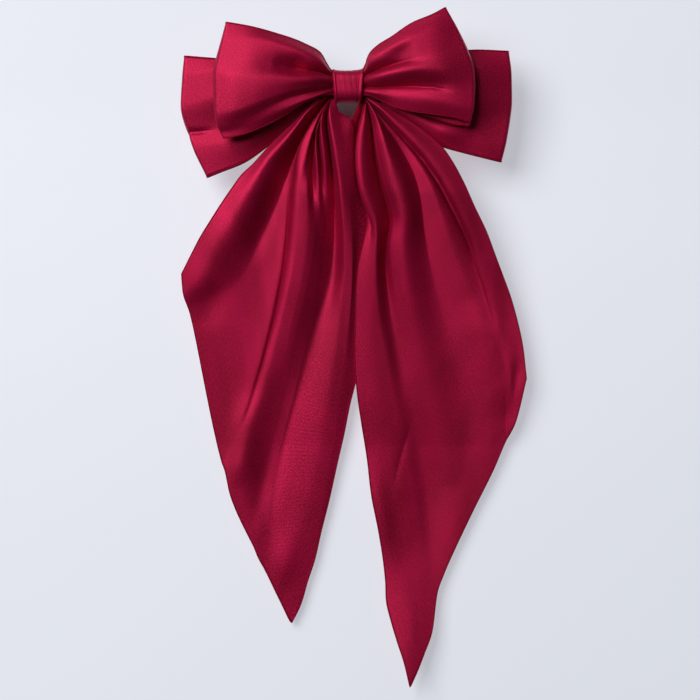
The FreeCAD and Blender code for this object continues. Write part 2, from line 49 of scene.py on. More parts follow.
CLOTH_THICKNESS = 0.35 * MM
KNOT_THICKNESS = 0.6 * MM
BAR_THICKNESS = 0.45 * MM
BOW_HEM_RADIUS = 0.34 * MM
TAIL_HEM_RADIUS = 0.32 * MM

# Cloth simulation: a coarse net hangs for a few frames under a share of gravity.
NET_ROWS = 45
NET_COLUMNS = 23
SETTLE_GRAVITY = 0.4
BOW_FRAMES = 12
BOW_CAP = 0.5 * MM
BOW_EDGE_PIN = 0.6
BOW_LEAST_PIN = 0.12
TAIL_FRAMES = 14
TAIL_CAP = 0.6 * MM
TAIL_LEAST_PIN = 0.06

FOLD_POWER = 2.6  # how round the crisp folds are
END_FOLD_REACH = 0.42  # how far a loop's outer fold bulges, as a share of its depth
BAND_SCALE = 0.314  # a wave texture's scale times the distance between its bands

# The rear bow's back panel: its level in mm, the front panel's mean depth, and how far it follows that panel.
REAR_BACK_LEVEL = -8.2
REAR_MEAN_DEPTH = 12
REAR_BACK_FOLLOWS = 0.15

# The knot: middle level, half height and depth, half width in mm, and how square its section is.
KNOT_LEVEL = -13.7
KNOT_HALF = 7.55
KNOT_HALF_WIDTH = 7.0
KNOT_SQUARENESS = 3.4

# The paper's painted shade spot behind the knot's hole, where its glow fades out, in metres, and how strongly the rest
# glows.
PAINTED_SHADE_MIDDLE = (0, 0.0105, -0.012)
PAINTED_SHADE_RADIUS = 0.010
PAINTED_SHADE_FADE_RADIUS = 0.023
PAPER_GLOW = 0.56

# The camera sees a width of VIEW_WIDTH at a distance of VIEW_DISTANCE.
SENSOR_WIDTH = 36
VIEW_DISTANCE = 1.3
VIEW_WIDTH = 0.331

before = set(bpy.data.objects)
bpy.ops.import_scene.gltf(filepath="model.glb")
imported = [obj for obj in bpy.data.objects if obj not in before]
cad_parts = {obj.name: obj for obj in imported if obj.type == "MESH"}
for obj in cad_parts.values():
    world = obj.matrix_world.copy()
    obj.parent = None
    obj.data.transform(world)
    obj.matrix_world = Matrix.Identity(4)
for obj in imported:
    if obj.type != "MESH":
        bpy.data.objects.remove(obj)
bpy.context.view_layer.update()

# ---- fold lines -------------------------------------------------------------------------------------
# A piece of cloth is described by the lines of its ridges and valleys, in order across the cloth.
# A bow's line runs from the knot to the outer fold: (x, z, y) in mm.
# A tail's line runs from the knot to the hem: (x, z, height above the level the tail lies on) in mm.

FRONT_LEFT = [
    [(-6.4, 5.9, -19.0), (-8.4, 7.6, -20.0), (-10, 10, -20.8), (-13, 15, -21.5), (-20, 19, -22.6),
     (-35, 24.3, -23.6), (-45, 27, -23.8), (-56.6, 29.2, -23.0)],
    [(-6.4, 4.8, -19.4), (-8.6, 6.2, -21.6), (-13, 10, -25.2), (-20, 13.4, -27.0), (-30, 17, -27.4),
     (-45, 20.5, -26.6), (-58.2, 21, -24.4)],
    [(-6.4, 3.6, -19.0), (-8.4, 4.5, -20.4), (-13, 5.9, -22.4), (-18, 6.6, -23.6), (-25, 7.6, -24.6),
     (-31, 8.6, -26.0), (-45, 11.5, -27.6), (-60.2, 12, -25.2)],
    [(-6.4, 1.8, -19.6), (-8.4, 2.2, -21.8), (-14, 2.6, -25.8), (-22, 2.4, -28.0), (-32, 2.4, -29.2),
     (-45, 2.0, -29.4), (-55, 2.5, -28.0), (-61.6, 4, -25.6)],
    [(-6.4, 0.4, -19.2), (-8.4, 0.1, -21.0), (-15, -0.6, -24.4), (-25, -2.4, -26.8), (-35, -5.6, -27.9),
     (-45, -9.6, -28.2), (-55, -12.4, -27.2), (-61.3, -12.4, -25.3)],
    [(-6.4, -0.8, -18.8), (-8.4, -1.6, -20.2), (-15, -3.2, -22.4), (-25, -5.6, -24.0), (-35, -9.6, -24.8),
     (-45, -14.6, -25.0), (-55, -18.2, -24.6), (-60.8, -19.2, -23.8)],
    [(-6.4, -2.4, -19.4), (-8.4, -2.9, -21.0), (-15, -5.4, -23.0), (-25, -9.2, -24.2), (-35, -13.6, -24.0),
     (-45, -18.6, -23.4), (-55, -21.8, -22.6), (-59.4, -22.6, -22.2)],
    [(-6.4, -4.6, -18.8), (-8.4, -4.4, -19.8), (-20, -8.4, -20.8), (-30, -14.5, -21.6), (-40, -19.6, -22.0),
     (-50, -23.5, -22.2), (-58.0, -25, -22.0)],
]
FRONT_LEFT_BACK = [
    [(-6.4, 5.9, -17.4), (-10, 8.5, -18.0), (-20, 17, -18.4), (-45, 25.5, -18.6), (-56.6, 28.6, -18.8)],
    [(-6.4, 0, -17.2), (-20, 2.5, -17.6), (-45, 1.5, -17.6), (-62, 3, -18.4)],
    [(-6.4, -4.6, -17.4), (-20, -7.6, -18.2), (-40, -18.4, -18.4), (-58.0, -24.4, -18.8)],
]
FRONT_RIGHT = [
    [(6.4, 5.9, -19.0), (8.0, 8.2, -20.2), (9, 12, -21.4), (10.5, 15, -22.2), (14, 18.3, -23.0), (20, 22, -23.6),
     (30, 28.7, -24.0), (40, 33, -23.8), (45.4, 36.0, -22.8)],
    [(6.4, 4.8, -19.4), (8.4, 6.4, -21.8), (12, 10.8, -25.2), (20, 15.8, -27.2), (30, 20.5, -27.8),
     (42, 24.5, -26.8), (50.0, 27, -24.4)],
    [(6.4, 3.6, -19.0), (8.4, 4.9, -20.4), (13, 6.6, -23.2), (20, 9, -25.2), (27, 11, -26.8), (40, 14, -28.2),
     (54.6, 16, -25.6)],
    [(6.4, 1.8, -19.6), (8.4, 2.5, -21.8), (14, 3.8, -25.8), (22, 5.4, -28.0), (32, 7.0, -29.2), (44, 7.4, -29.2),
     (57.6, 7, -26.0)],
    [(6.4, -0.6, -18.8), (8.4, -0.9, -20.0), (20, -1.2, -23.0), (30, -1.0, -24.4), (40, -1.8, -25.8),
     (50, -3, -26.2), (58.4, -4, -25.4)],
    [(6.4, -2.2, -19.4), (8.4, -2.8, -21.0), (20, -4.6, -23.6), (30, -5.6, -25.0), (42, -6.8, -26.0),
     (52, -9, -25.8), (58.2, -10, -25.0)],
    [(6.4, -4.6, -18.8), (8.4, -4.6, -19.8), (17, -8, -21.0), (22, -10.5, -22.0), (30, -12.5, -22.8),
     (40, -14, -23.2), (50, -15.5, -23.2), (56.8, -17.4, -22.6)],
]
FRONT_RIGHT_BACK = [
    [(6.4, 5.9, -17.4), (10, 13, -18.0), (20, 20.6, -18.4), (40, 31.8, -18.6), (45.2, 35.2, -18.8)],
    [(6.4, 0, -17.2), (20, 2.5, -17.6), (44, 4, -17.6), (58.4, 4, -18.4)],
    [(6.4, -4.6, -17.4), (20, -8.5, -18.2), (30, -12.6, -18.6), (40, -15.4, -19.0), (50, -18.4, -19.2),
     (56.4, -19.1, -19.2)],
]
REAR_LEFT = [
    [(-6.4, 5.4, -10.6), (-8.4, 5.8, -10.8), (-25, 10.3, -11.8), (-45, 12, -12.8), (-62, 13.2, -13.0),
     (-76.8, 14.5, -12.2)],
    [(-6.4, 3.2, -11.0), (-25, 6, -13.4), (-45, 7, -14.9), (-62, 6.5, -15.2), (-77.4, 4, -13.6)],
    [(-6.4, 0, -10.6), (-25, -1, -12.6), (-45, -2, -14.4), (-62, -4, -15.2), (-78.2, -8.5, -13.6)],
    [(-6.4, -1.8, -10.4), (-25, -7, -12.0), (-45, -15, -12.8), (-64, -20.3, -12.6), (-74.9, -21.4, -12.2)],
    [(-6.4, -3.4, -11.0), (-20, -8.5, -13.4), (-38, -19.5, -14.4), (-55, -26.5, -14.2), (-72.4, -29.5, -12.8)],
    [(-6.4, -5.4, -10.4), (-20, -14, -11.0), (-35, -25.5, -12.0), (-50, -36, -12.6), (-60, -40, -12.6),
     (-66.2, -42.5, -12.0)],
]
REAR_RIGHT = [
    [(6.4, 5.4, -10.6), (8.4, 5.8, -10.8), (25, 12.2, -11.8), (45, 15.8, -12.8), (60, 17.2, -13.0),
     (75.4, 16.8, -12.2)],
    [(6.4, 3.2, -11.0), (25, 6.5, -13.4), (45, 8.5, -15.0), (60, 8.5, -17.0), (76.5, 6, -13.8)],
    [(6.4, 0, -10.6), (25, -0.5, -12.6), (45, -2, -14.2), (60, -4, -16.6), (76.6, -6, -13.8)],
    [(6.4, -1.8, -10.4), (25, -6.5, -12.2), (40, -13, -13.2), (55, -15, -15.4), (75.6, -16, -13.4)],
    [(6.4, -3.4, -11.0), (25, -10.5, -13.8), (42, -19, -15.3), (55, -23, -14.6), (74.2, -25.5, -13.4)],
    [(6.4, -5.4, -10.4), (25, -17, -11.2), (44, -27.8, -12.2), (55, -31, -12.6), (65, -33.5, -12.6),
     (72.0, -35.2, -12.0)],
]

TAIL_LEFT = [
    [(-5, 0, 1.0), (-8.3, -3.2, 1.4), (-12, -5, 2.0), (-17, -8, 2.6), (-20, -10.5, 3.0), (-25.4, -16.6, 3.5),
     (-30.6, -21.5, 3.7), (-38.7, -29.4, 3.7), (-45.6, -37.0, 3.5), (-50.5, -41.6, 3.3), (-55.4, -48.2, 3.1),
     (-60.3, -55.3, 2.9), (-65.2, -62.9, 2.6), (-70.2, -70.9, 2.2), (-75, -80, 1.8), (-79.3, -88.5, 1.6)],
    [(-5, -0.6, 1.6), (-8.2, -3.8, 2.4), (-14, -7.6, 4.6), (-20, -12.6, 5.8), (-25, -19.2, 6.2),
     (-30, -25.6, 6.2), (-38, -35, 6.0), (-46, -47, 5.4), (-54, -60, 4.6), (-62, -75, 3.8), (-70, -90, 2.8),
     (-78.6, -97, 1.8)],
    [(-5, -1.4, 0.6), (-8.2, -5, 0.4), (-13, -11, 0.2), (-18, -17.4, 0), (-22, -24, 0), (-25.8, -32.5, 0),
     (-29.5, -43, 0), (-34.5, -57, 0), (-42, -73, 0.3), (-52, -92, 0.8), (-75.5, -107, 1.2)],
    [(-5, -1.6, 0.6), (-8.3, -5.3, 0.6), (-13, -11.8, 0.4), (-18, -18.4, 0.4), (-22, -25.6, 0.4), (-25.6, -35, 0.1),
     (-27.6, -45, 0.1), (-28.8, -58, 0.3), (-29.8, -72, 0.9), (-31.8, -88, 1.5), (-36.2, -110, 1.8),
     (-42, -132, 1.8), (-48, -151, 1.6), (-60.5, -178, 1.2)],
    [(-5, -1.9, 1.0), (-8.3, -5.6, 1.6), (-13, -12.4, 2.6), (-18, -19.2, 3.2), (-22, -26.4, 3.6), (-24.6, -34, 3.8),
     (-26, -42, 3.6), (-27.2, -55, 3.2), (-28.4, -70, 2.8), (-30.6, -87, 2.6), (-35, -109, 2.4), (-40.6, -130, 2.2),
     (-46.6, -150, 1.9), (-59, -182, 1.4)],
    [(-5, -2.2, 1.0), (-8.3, -6, 1.8), (-13.5, -14, 3.2), (-17, -22, 4.2), (-20, -31, 4.8), (-22.3, -40, 5.2),
     (-23.5, -52, 5.0), (-24.5, -70, 4.7), (-26.8, -90, 4.5), (-31.5, -110, 3.9), (-37, -132, 3.2),
     (-43.5, -154, 2.6), (-56.5, -193, 1.7)],
    [(-5, -2.4, 0.6), (-8.3, -6.4, 0.8), (-13.8, -16, 1.2), (-16.5, -25, 1.5), (-19.0, -36, 3.4),
     (-19.8, -46, 5.2), (-19.7, -60, 5.2), (-20.6, -76, 5.0), (-23.2, -92, 4.5), (-27.6, -112, 3.9),
     (-32.6, -134, 3.2), (-38.8, -158, 2.5), (-53.5, -201, 1.6)],
    [(-5, -2.6, 0.5), (-8.4, -6.8, 0.3), (-13.4, -17, 0.2), (-15.8, -27, 0.2), (-17.0, -37, 0.8), (-17.0, -46, 2.0),
     (-16.8, -56, 3.8), (-16.8, -66, 4.5), (-17.6, -77, 4.5), (-20.2, -93, 4.1), (-25, -113, 3.5), (-30, -136, 2.9),
     (-36.4, -161, 2.3), (-50.5, -207.5, 1.6)],
    [(-5, -2.8, 1.4), (-8.4, -7.1, 2.4), (-12.2, -14, 4.2), (-14.8, -20.8, 5.0), (-15.3, -27, 5.0),
     (-14.9, -35, 4.8), (-14.4, -45, 3.9), (-14.1, -58, 3.6), (-14.9, -76, 3.5), (-17.7, -94, 3.2),
     (-23, -115, 2.7), (-27.8, -138, 2.2), (-34.4, -164, 1.8), (-47.5, -213.5, 1.6)],
    [(-5, -3.0, 0.8), (-8.4, -7.4, 0.6), (-11.6, -14, 1.0), (-13.5, -20, 1.4), (-13.8, -27, 1.0),
     (-13.1, -35, 1.0), (-12.5, -44, 1.6), (-12.1, -58, 2.6), (-12.9, -76, 2.6), (-15.8, -95, 2.4),
     (-21.2, -116, 2.0), (-26.2, -140, 1.6), (-33.2, -167, 1.4), (-45, -218.5, 1.6)],
    [(-5, -3.2, 1.6), (-8.5, -7.6, 2.6), (-9.6, -8.8, 3.2), (-11.7, -12.4, 4.8), (-12.7, -17, 5.6),
     (-12.5, -23.2, 5.6), (-11.6, -31, 5.0), (-11.1, -37, 4.2), (-10.8, -45, 3.0), (-10.2, -58, 1.7),
     (-11.1, -76, 1.7), (-14.2, -96, 1.6), (-19.8, -118, 1.4), (-25.4, -143, 1.2), (-32.8, -171, 1.1),
     (-43, -223.5, 1.5)],
    [(-5, -3.4, 0.6), (-8.4, -8, 0.2), (-9.6, -12, 0), (-10.1, -18, 0), (-9.4, -25, 0), (-8.4, -33, 0),
     (-7.4, -42, -0.2), (-6.7, -53, -0.4), (-6.7, -70, -0.3), (-8.4, -88, 0.1), (-15, -112, 0.6), (-22.4, -140, 0.7),
     (-30.8, -171, 0.7), (-40, -229, 1.4)],
    [(-5, -3.6, 2.0), (-7.4, -7.6, 3.2), (-8.5, -12, 5.2), (-8.3, -15.5, 5.9), (-7.2, -22, 6.2), (-6, -29, 6.2),
     (-5, -36, 6.0), (-4.0, -43, 5.9), (-3.2, -52, 5.6), (-2.4, -62, 5.2), (-1.8, -72, 4.9), (-1.6, -84, 4.6),
     (-3.0, -102, 4.1), (-6.4, -128, 3.6), (-11, -155, 3.0), (-17, -188, 2.3), (-35, -239.5, 1.4)],
    [(-5, -4.0, 1.6), (-5.6, -8.2, 2.8), (-4.6, -13.4, 4.0), (-2.9, -20, 4.7), (-1.6, -30, 5.0), (-0.8, -45, 5.0),
     (0.6, -60, 4.8), (1.6, -78, 4.5), (1.0, -98, 4.1), (-1.6, -124, 3.4), (-6, -154, 2.8), (-12, -190, 2.1),
     (-31.4, -247, 1.2)],
    [(-5, -4.4, 1.2), (-5.8, -8.4, 1.8), (-4.4, -11.6, 2.2), (-2, -13.5, 2.6), (1, -14.9, 3.0), (2.2, -17.5, 3.4),
     (2.5, -24, 3.4), (2.6, -32, 3.4), (2.8, -42, 3.4), (3.6, -53, 3.2), (4.6, -61.5, 2.8), (4.8, -66, 2.6),
     (4.4, -72, 2.4), (3.8, -80, 2.2), (3.2, -87, 2.1), (2.8, -96, 2.0), (2.4, -110, 2.0), (2.2, -128, 1.9),
     (2, -140, 1.9), (-0.4, -150, 1.9), (-3.5, -165, 1.9), (-6.5, -178, 1.8), (-10.5, -196, 1.7), (-14.5, -212, 1.5),
     (-17.6, -225, 1.3), (-20.8, -234, 1.3), (-25, -247, 1.3), (-28.2, -253.6, 1.2)],
    [(-5, -4.6, 1.0), (-5.7, -8.8, 1.4), (-4.1, -12, 1.6), (-1.6, -13.9, 1.6), (1.6, -15.4, 1.4), (3.0, -18, 0.8),
     (4.4, -24, -0.3), (5.2, -32, -0.5), (6.6, -42, -0.5), (9.4, -53, -0.2), (11.4, -61.5, 0.3), (11.8, -66, 0.6),
     (11.2, -72, 0.8), (9.8, -80, 0.9), (8.2, -87, 1.0), (7, -96, 1.0), (5.8, -110, 1.1), (4.4, -128, 1.4),
     (2.9, -140, 1.6), (0.4, -150, 1.7), (-2.6, -165, 1.7), (-5.6, -178, 1.6), (-9.6, -196, 1.5), (-13.6, -212, 1.3),
     (-16.6, -225, 1.2), (-19.6, -234, 1.2), (-23.6, -247, 1.2), (-27.4, -254.6, 1.2)],
]

TAIL_RIGHT = [
    [(5, -4.4, 1.2), (6.2, -7.3, 1.6), (4.6, -9.4, 2.2), (3.7, -12, 2.6), (2.5, -14.6, 2.6), (2.2, -17.5, 2.2),
     (3, -20, 1.4), (4.5, -26, 0.8), (6, -36, 0.6), (7.5, -48, 0.8), (9.4, -59, 1.8), (9.5, -65, 2.9),
     (8.2, -72, 3.3), (6.2, -80, 3.4), (4.9, -87, 3.4), (4.2, -96, 3.2), (3.8, -110, 3.0), (3.5, -125, 2.8),
     (4.8, -145, 2.8), (7, -160, 2.6), (9.5, -175, 2.4), (12, -195, 2.2), (15, -210, 2.0), (17, -222, 1.8),
     (18.5, -235, 1.6), (19, -245, 1.6), (21, -253, 1.8), (24, -263, 2.2), (27, -272, 2.8), (30, -284.4, 3.4)],
    [(5, -4.2, 1.0), (7.2, -7.6, 1.0), (6.6, -10, 0.8), (6.0, -14, 0.4), (4.8, -18, 0.1), (4.8, -24, 0),
     (5.2, -32, 0), (6.4, -42, 0.1), (8.6, -52, 0.6), (11, -61, 2.0), (11.4, -68, 3.4), (10, -77, 4.0),
     (9.2, -88, 4.2), (9.0, -104, 4.0), (10.4, -126, 3.6), (14, -152, 3.2), (19, -182, 2.6), (24.6, -222, 2.0),
     (33.4, -277, 2.6)],
    [(5, -4.0, 1.6), (8, -7.8, 2.4), (7.1, -11.5, 3.4), (5.9, -16.5, 4.4), (4.3, -24, 4.6), (3.6, -31, 4.6),
     (3.8, -38, 4.6), (4.9, -46, 4.6), (7.1, -54.5, 4.4), (10, -61.5, 4.4), (12.2, -67, 4.6), (12.0, -76, 4.8),
     (11.4, -88, 4.7), (11.6, -104, 4.4), (14.2, -127, 3.8), (18.6, -153, 3.2), (24.5, -184, 2.6),
     (31, -226, 1.9), (36.6, -269, 2.0)],
    [(5, -3.8, 2.0), (8.2, -7.6, 3.0), (7.9, -11, 4.4), (7.2, -17, 5.8), (6.1, -25.5, 6.2), (5.8, -33, 6.2),
     (6.3, -41, 6.2), (7.8, -49, 6.0), (10.6, -56.5, 5.8), (13, -62.5, 5.6), (13.8, -69, 5.6), (13.6, -78, 5.4),
     (13.6, -90, 5.0), (14.6, -106, 4.4), (18.4, -128, 3.7), (23.5, -154, 3.0), (30, -186, 2.4), (37, -230, 1.7),
     (40.4, -258.5, 1.6)],
    [(5, -3.6, 0.8), (8.5, -7.4, 0.3), (10, -13, 0), (11.2, -19, 0), (12, -26, 0), (13, -34, 0), (15.6, -45, 0),
     (18.8, -56, 0.1), (20.2, -63, 0.2), (19.2, -70, 0.3), (18.4, -78, 0.4), (18.8, -89, 0.8), (20.8, -105, 1.4),
     (25, -127, 1.8), (31, -153, 1.8), (37, -182, 1.6), (43, -240, 1.5)],
    [(5, -3.5, 1.4), (8.4, -7.0, 2.0), (10.4, -12.1, 2.8), (12, -17.7, 3.2), (13.2, -25.5, 3.6), (15.1, -35, 3.8),
     (18.2, -46.8, 4.0), (21.2, -56.3, 3.8), (22.6, -62, 3.8), (21.8, -69, 4.0), (21.2, -75, 4.0),
     (21.8, -83, 3.8), (23.4, -95, 3.4), (28, -118, 2.8), (34, -144, 2.3), (41, -175, 1.8), (46, -231.5, 1.5)],
    [(5, -3.4, 1.8), (8.6, -6.8, 2.8), (12, -12, 4.6), (14.7, -18.5, 5.4), (16.9, -26, 5.8), (19.4, -35, 6.0),
     (22.4, -46.5, 6.0), (25.2, -56, 5.8), (26.6, -64, 5.6), (26.4, -74, 5.4), (27.2, -85, 5.0), (29.6, -100, 4.3),
     (34.6, -121, 3.4), (41, -146, 2.6), (48, -176, 2.0), (50.5, -221, 1.5)],
    [(5, -3.2, 0.6), (8.3, -6.6, 0.3), (14, -14, 0.3), (20.4, -22, 0.4), (26.8, -31.5, 0.6), (32, -42, 0.8),
     (34.8, -53, 0.8), (36.4, -66, 0.7), (38.4, -78, 0.7), (41, -90, 0.9), (44.8, -103, 1.2), (50.2, -125, 1.6),
     (56, -150, 1.6), (59.5, -202, 1.4)],
    [(5, -3.0, 0.8), (8.2, -6.2, 0.4), (13.8, -12.4, 0.4), (20.7, -20.3, 0.4), (28.6, -29.2, 0.8), (35.8, -39.3, 1.3),
     (40.8, -50, 1.6), (44.8, -62, 1.8), (49, -75, 2.0), (54.2, -89, 2.3), (60, -104, 2.6), (66, -125, 2.5),
     (69, -150, 2.1), (69.5, -182, 1.6)],
    [(5, -2.8, 0.5), (8.2, -6.0, 0.2), (13.8, -11.6, 0), (20.6, -18.4, 0), (27.6, -25.4, -0.1), (35.6, -34.1, -0.3),
     (43.5, -45.1, -0.6), (51.1, -59.1, -0.6), (57.8, -73.5, 0), (61.4, -86, 1.0), (65.6, -99, 1.8), (70.4, -117, 2.2),
     (74.4, -136, 2.0), (76, -167, 1.5)],
    [(5, -2.7, 0.9), (8.2, -5.8, 1.4), (13.6, -11.3, 2.4), (20.1, -18.1, 3.4), (26.7, -25.3, 4.0), (34.5, -33.9, 4.2),
     (42.4, -45.0, 4.0), (50.0, -59.0, 3.4), (57.0, -73.3, 2.8), (61.2, -85.7, 2.5), (66, -98.5, 2.6),
     (71.2, -116.4, 2.6), (75.4, -135.4, 2.6), (77.4, -164.6, 2.2)],
    [(5, -2.6, 1.8), (8.3, -5.6, 3.0), (15, -10.6, 5.0), (21.5, -16.7, 5.8), (28.5, -23.3, 6.2),
     (36.4, -31.8, 6.2), (44.4, -42.8, 5.8), (52.2, -56.8, 5.0), (59.4, -71.5, 4.2), (63.6, -83.5, 3.6),
     (68.2, -97, 3.2), (73, -114, 2.9), (77.2, -133, 3.2), (80, -159, 3.2)],
    [(5, -1.8, 1.0), (8, -4.2, 1.8), (12, -7, 2.8), (20, -11.2, 3.6), (31, -17.6, 4.2), (39, -23.4, 4.4),
     (45, -29, 4.4), (50.6, -37.2, 4.2), (55.2, -45.8, 3.9), (60, -56.4, 3.5), (66, -69, 3.0), (70, -79.5, 2.6),
     (74, -90, 2.2), (77, -98, 2.2), (80, -108, 2.6), (83, -121, 3.2), (85.1, -138, 3.8)],
]

# Creases (sharp) and dents (rounded) worked into the folds afterwards: profile, width in mm and a path of
# (x, z, height) in mm.  A positive height raises the cloth towards the viewer.
FRONT_STROKES = [
    ("crease", 1.3, [(-8.5, 4.6, -1.6), (-13, 6, -2.2), (-18, 6.5, -2.0), (-25, 7.5, -1.5), (-32, 9, 0)]),
    ("dent", 3.6, [(-18, 7.2, 0), (-25, 8.8, -1.6), (-30, 9.2, -1.4), (-36, 9.4, 0)]),
    ("crease", 1.1, [(-8, -1.5, -1.2), (-15, -3, -1.0), (-21, -4.6, -0.5), (-28, -6.6, 0)]),
    ("crease", 1.3, [(8.5, 5.0, -1.2), (13, 6.6, -1.6), (20, 9, -1.3), (27, 10.6, -0.6), (33, 12, 0)]),
    ("dent", 3.8, [(17, 12, 0), (25, 14.6, -0.8), (33, 17.5, 0)]),
    ("crease", 0.8, [(8, -0.9, -1.4), (20, -1, -1.9), (30, -0.8, -1.9), (40, -1.6, -1.2), (50, -3.6, 0)]),
    ("dent", 2.6, [(18, 1.2, 0), (30, 1.4, -1.0), (40, 0.6, -0.8), (50, -1, 0)]),
    ("dent", 0.9, [(8.4, 7.4, 0.6), (10.4, 12.6, 0.9), (12.5, 15.5, 0)]),
]
REAR_STROKES = [
    ("crease", 0.9, [(-76.5, -21.6, -2.0), (-70, -21.2, -1.6), (-62, -20.2, 0)]),
    ("dent", 8.0, [(40, -18, 0.3), (50, -21.5, 0.9), (60, -24, 0)]),
    ("dent", 4.5, [(38, -18, 0), (45, -21.5, 0.4), (52, -24, 0)]),
]
TAIL_LEFT_STROKES = [
    ("crease", 0.7, [(-25.4, -33, 0), (-27, -45, -1.4), (-28, -58, -1.8), (-29.2, -71, -1.8), (-31.2, -87.5, -1.7),
                     (-35.6, -109.5, -1.5), (-41.3, -131, -1.1), (-47.4, -151, -0.6), (-54, -168, 0)]),
    ("dent", 4.5, [(-21, -24, 0), (-29.5, -38, -1.0), (-36, -52, -1.2), (-41.5, -68, -1.0), (-48, -86, 0)]),
    ("dent", 6.0, [(-34, -34, 0), (-44, -50, 0.9), (-52, -66, 1.1), (-60, -84, 0)]),
    ("dent", 6.0, [(-23, -108, 0), (-33, -150, -1.3), (-40, -185, -1.9), (-45, -214, 0)]),
    ("dent", 6.0, [(-44, -140, 0), (-49, -160, 1.4), (-51, -178, 1.2), (-53, -192, 0)]),
    ("dent", 7.0, [(-60, -90, 0), (-66, -104, -0.9), (-72, -118, 0)]),
    ("dent", 6.0, [(-30, -205, 0), (-30, -225, 0.7), (-30, -240, 0)]),
]
TAIL_RIGHT_STROKES = [
    ("dent", 4.0, [(14, -18, 0), (20, -28, 0.6), (25.6, -42, 1.1), (28.6, -55, 1.0), (30, -75, 0)]),
    ("crease", 1.4, [(14, -12, 0), (20.8, -18.4, -0.8), (27.8, -25.4, -1.5), (35.8, -34.2, -1.9), (43.7, -45.2, -2.0),
                     (51.3, -59.2, -1.8), (58, -73.6, -1.1), (62, -86, 0)]),
    ("dent", 8.0, [(58, -98, 0), (68, -118, 1.3), (74, -140, 1.0), (76, -158, 0)]),
    ("dent", 11.0, [(30, -145, 0), (41, -190, -1.8), (36, -240, 0)]),
    ("dent", 5.0, [(11, -170, 0), (16, -200, 1.3), (23, -245, 0)]),
    ("crease", 1.6, [(31, -158, 0), (27.5, -169, -0.5), (24.5, -180, -0.4), (22, -192, 0)]),
    ("dent", 30.0, [(19, -215, 0), (29.5, -286, 6.0)]),
    ("dent", 2.4, [(83, -124, 0), (80.6, -138, -0.5), (78, -152, -0.4), (76, -164, 0)]),
]

# Where the tails' lowest cloth lies, by height: (z, y) in mm, y negative in front of the origin.
TAIL_LEVEL = [(10, -13.0), (-50, -12.7), (-110, -8.4), (-170, -5.4), (-285, -4.0)]


# ---- curves and surfaces ----------------------------------------------------------------------------


def slopes_at(knots, values, capped):
    """Slope at each knot; capped keeps the curve from running past a peak or a trough."""
    steps = np.diff(knots)[:, None]
    slopes = np.diff(values, axis=0) / steps
    result = np.empty_like(values)
    result[0] = slopes[0]
    result[-1] = slopes[-1]
    before = slopes[:-1]
    after = slopes[1:]
    if capped:
        same = before * after > 0
        total = np.where(same, before + after, 1.0)
        result[1:-1] = np.where(same, 2 * before * after / total, 0.0)
    else:
        result[1:-1] = (before * steps[1:] + after * steps[:-1]) / (steps[1:] + steps[:-1])
    return result


def spline(knots, values, at, capped):
    """Smooth curve through values, one row for each knot."""
    shape = values.shape[1:]
    values = values.reshape(len(knots), -1)
    slopes = slopes_at(knots, values, capped)
    index = np.clip(np.searchsorted(knots, at, side="right") - 1, 0, len(knots) - 2)
    step = (knots[index + 1] - knots[index])[:, None]
    u = ((at - knots[index])[:, None] / step).clip(0, 1)
    low = values[index]
    high = values[index + 1]
    curve = (
        low * (2 * u**3 - 3 * u**2 + 1)
        + high * (3 * u**2 - 2 * u**3)
        + slopes[index] * step * (u**3 - 2 * u**2 + u)
        + slopes[index + 1] * step * (u**3 - u**2)
    )
    return curve.reshape(len(at), *shape)


def resampled(line, count):
    """The line at count evenly spaced places along it."""
    points = np.array(line, float)
    lengths = np.linalg.norm(np.diff(points, axis=0), axis=1)
    knots = np.concatenate([[0], np.cumsum(lengths)])
    return spline(knots, points, np.linspace(0, knots[-1], count), False)


def fan(lines, rows, columns, toward, crisp):
    """Cloth surface through the fold lines: an array of rows x columns points (x, z, depth).

    toward is the sign that points at the viewer. crisp is how strongly, and over what share of the
    length, the even waves are turned into round folds with narrow gaps between them."""
    sampled = np.array([resampled(line, rows) for line in lines])
    gaps = np.linalg.norm(np.diff(sampled, axis=0), axis=2).mean(axis=1)
    knots = np.concatenate([[0], np.cumsum(gaps)])
    at = np.linspace(0, knots[-1], columns)
    grid = spline(knots, sampled, at, True)
    heights = sampled[..., 2] * toward
    index = np.clip(np.searchsorted(knots, at, side="right") - 1, 0, len(knots) - 2)
    share = ((at - knots[index]) / (knots[index + 1] - knots[index]))[:, None]
    near = heights[index]
    far = heights[index + 1]
    climb = np.where(far > near, share, 1 - share)
    folded = np.minimum(near, far) + np.abs(far - near) * (1 - (1 - climb) ** FOLD_POWER)
    strength, reach = crisp
    ease = np.clip(np.linspace(0, 1, rows) / reach, 0, 1)
    weight = strength * (1 - ease**2 * (3 - 2 * ease))
    beside = np.pad(heights, ((1, 1), (0, 0)), mode="edge")
    depth = np.clip(np.minimum(beside[:-2], beside[2:]) - heights, 0, 1)
    depth[0] = depth[-1] = 0
    weight = weight * np.where(far > near, depth[index], depth[index + 1])
    grid[..., 2] = (1 - weight) * grid[..., 2] + weight * folded * toward
    return grid.transpose(1, 0, 2)


def stroke(grid, toward, profile, width, path):
    """Press or raise one crease or dent in the cloth along a path of (x, z, height) in mm."""
    path = np.array(path, float)
    place = grid[..., :2]
    best = np.full(grid.shape[:2], np.inf)
    height = np.zeros(grid.shape[:2])
    for start, end in zip(path[:-1], path[1:]):
        along = end[:2] - start[:2]
        share = ((place - start[:2]) @ along / (along @ along)).clip(0, 1)
        away = np.linalg.norm(place - start[:2] - share[..., None] * along, axis=-1)
        closer = away < best
        best = np.where(closer, away, best)
        height = np.where(closer, start[2] + (end[2] - start[2]) * share**2 * (3 - 2 * share), height)
    fall = np.exp(-best / width) if profile == "crease" else np.exp(-((best / width) ** 2))
    grid[..., 2] += toward * height * fall


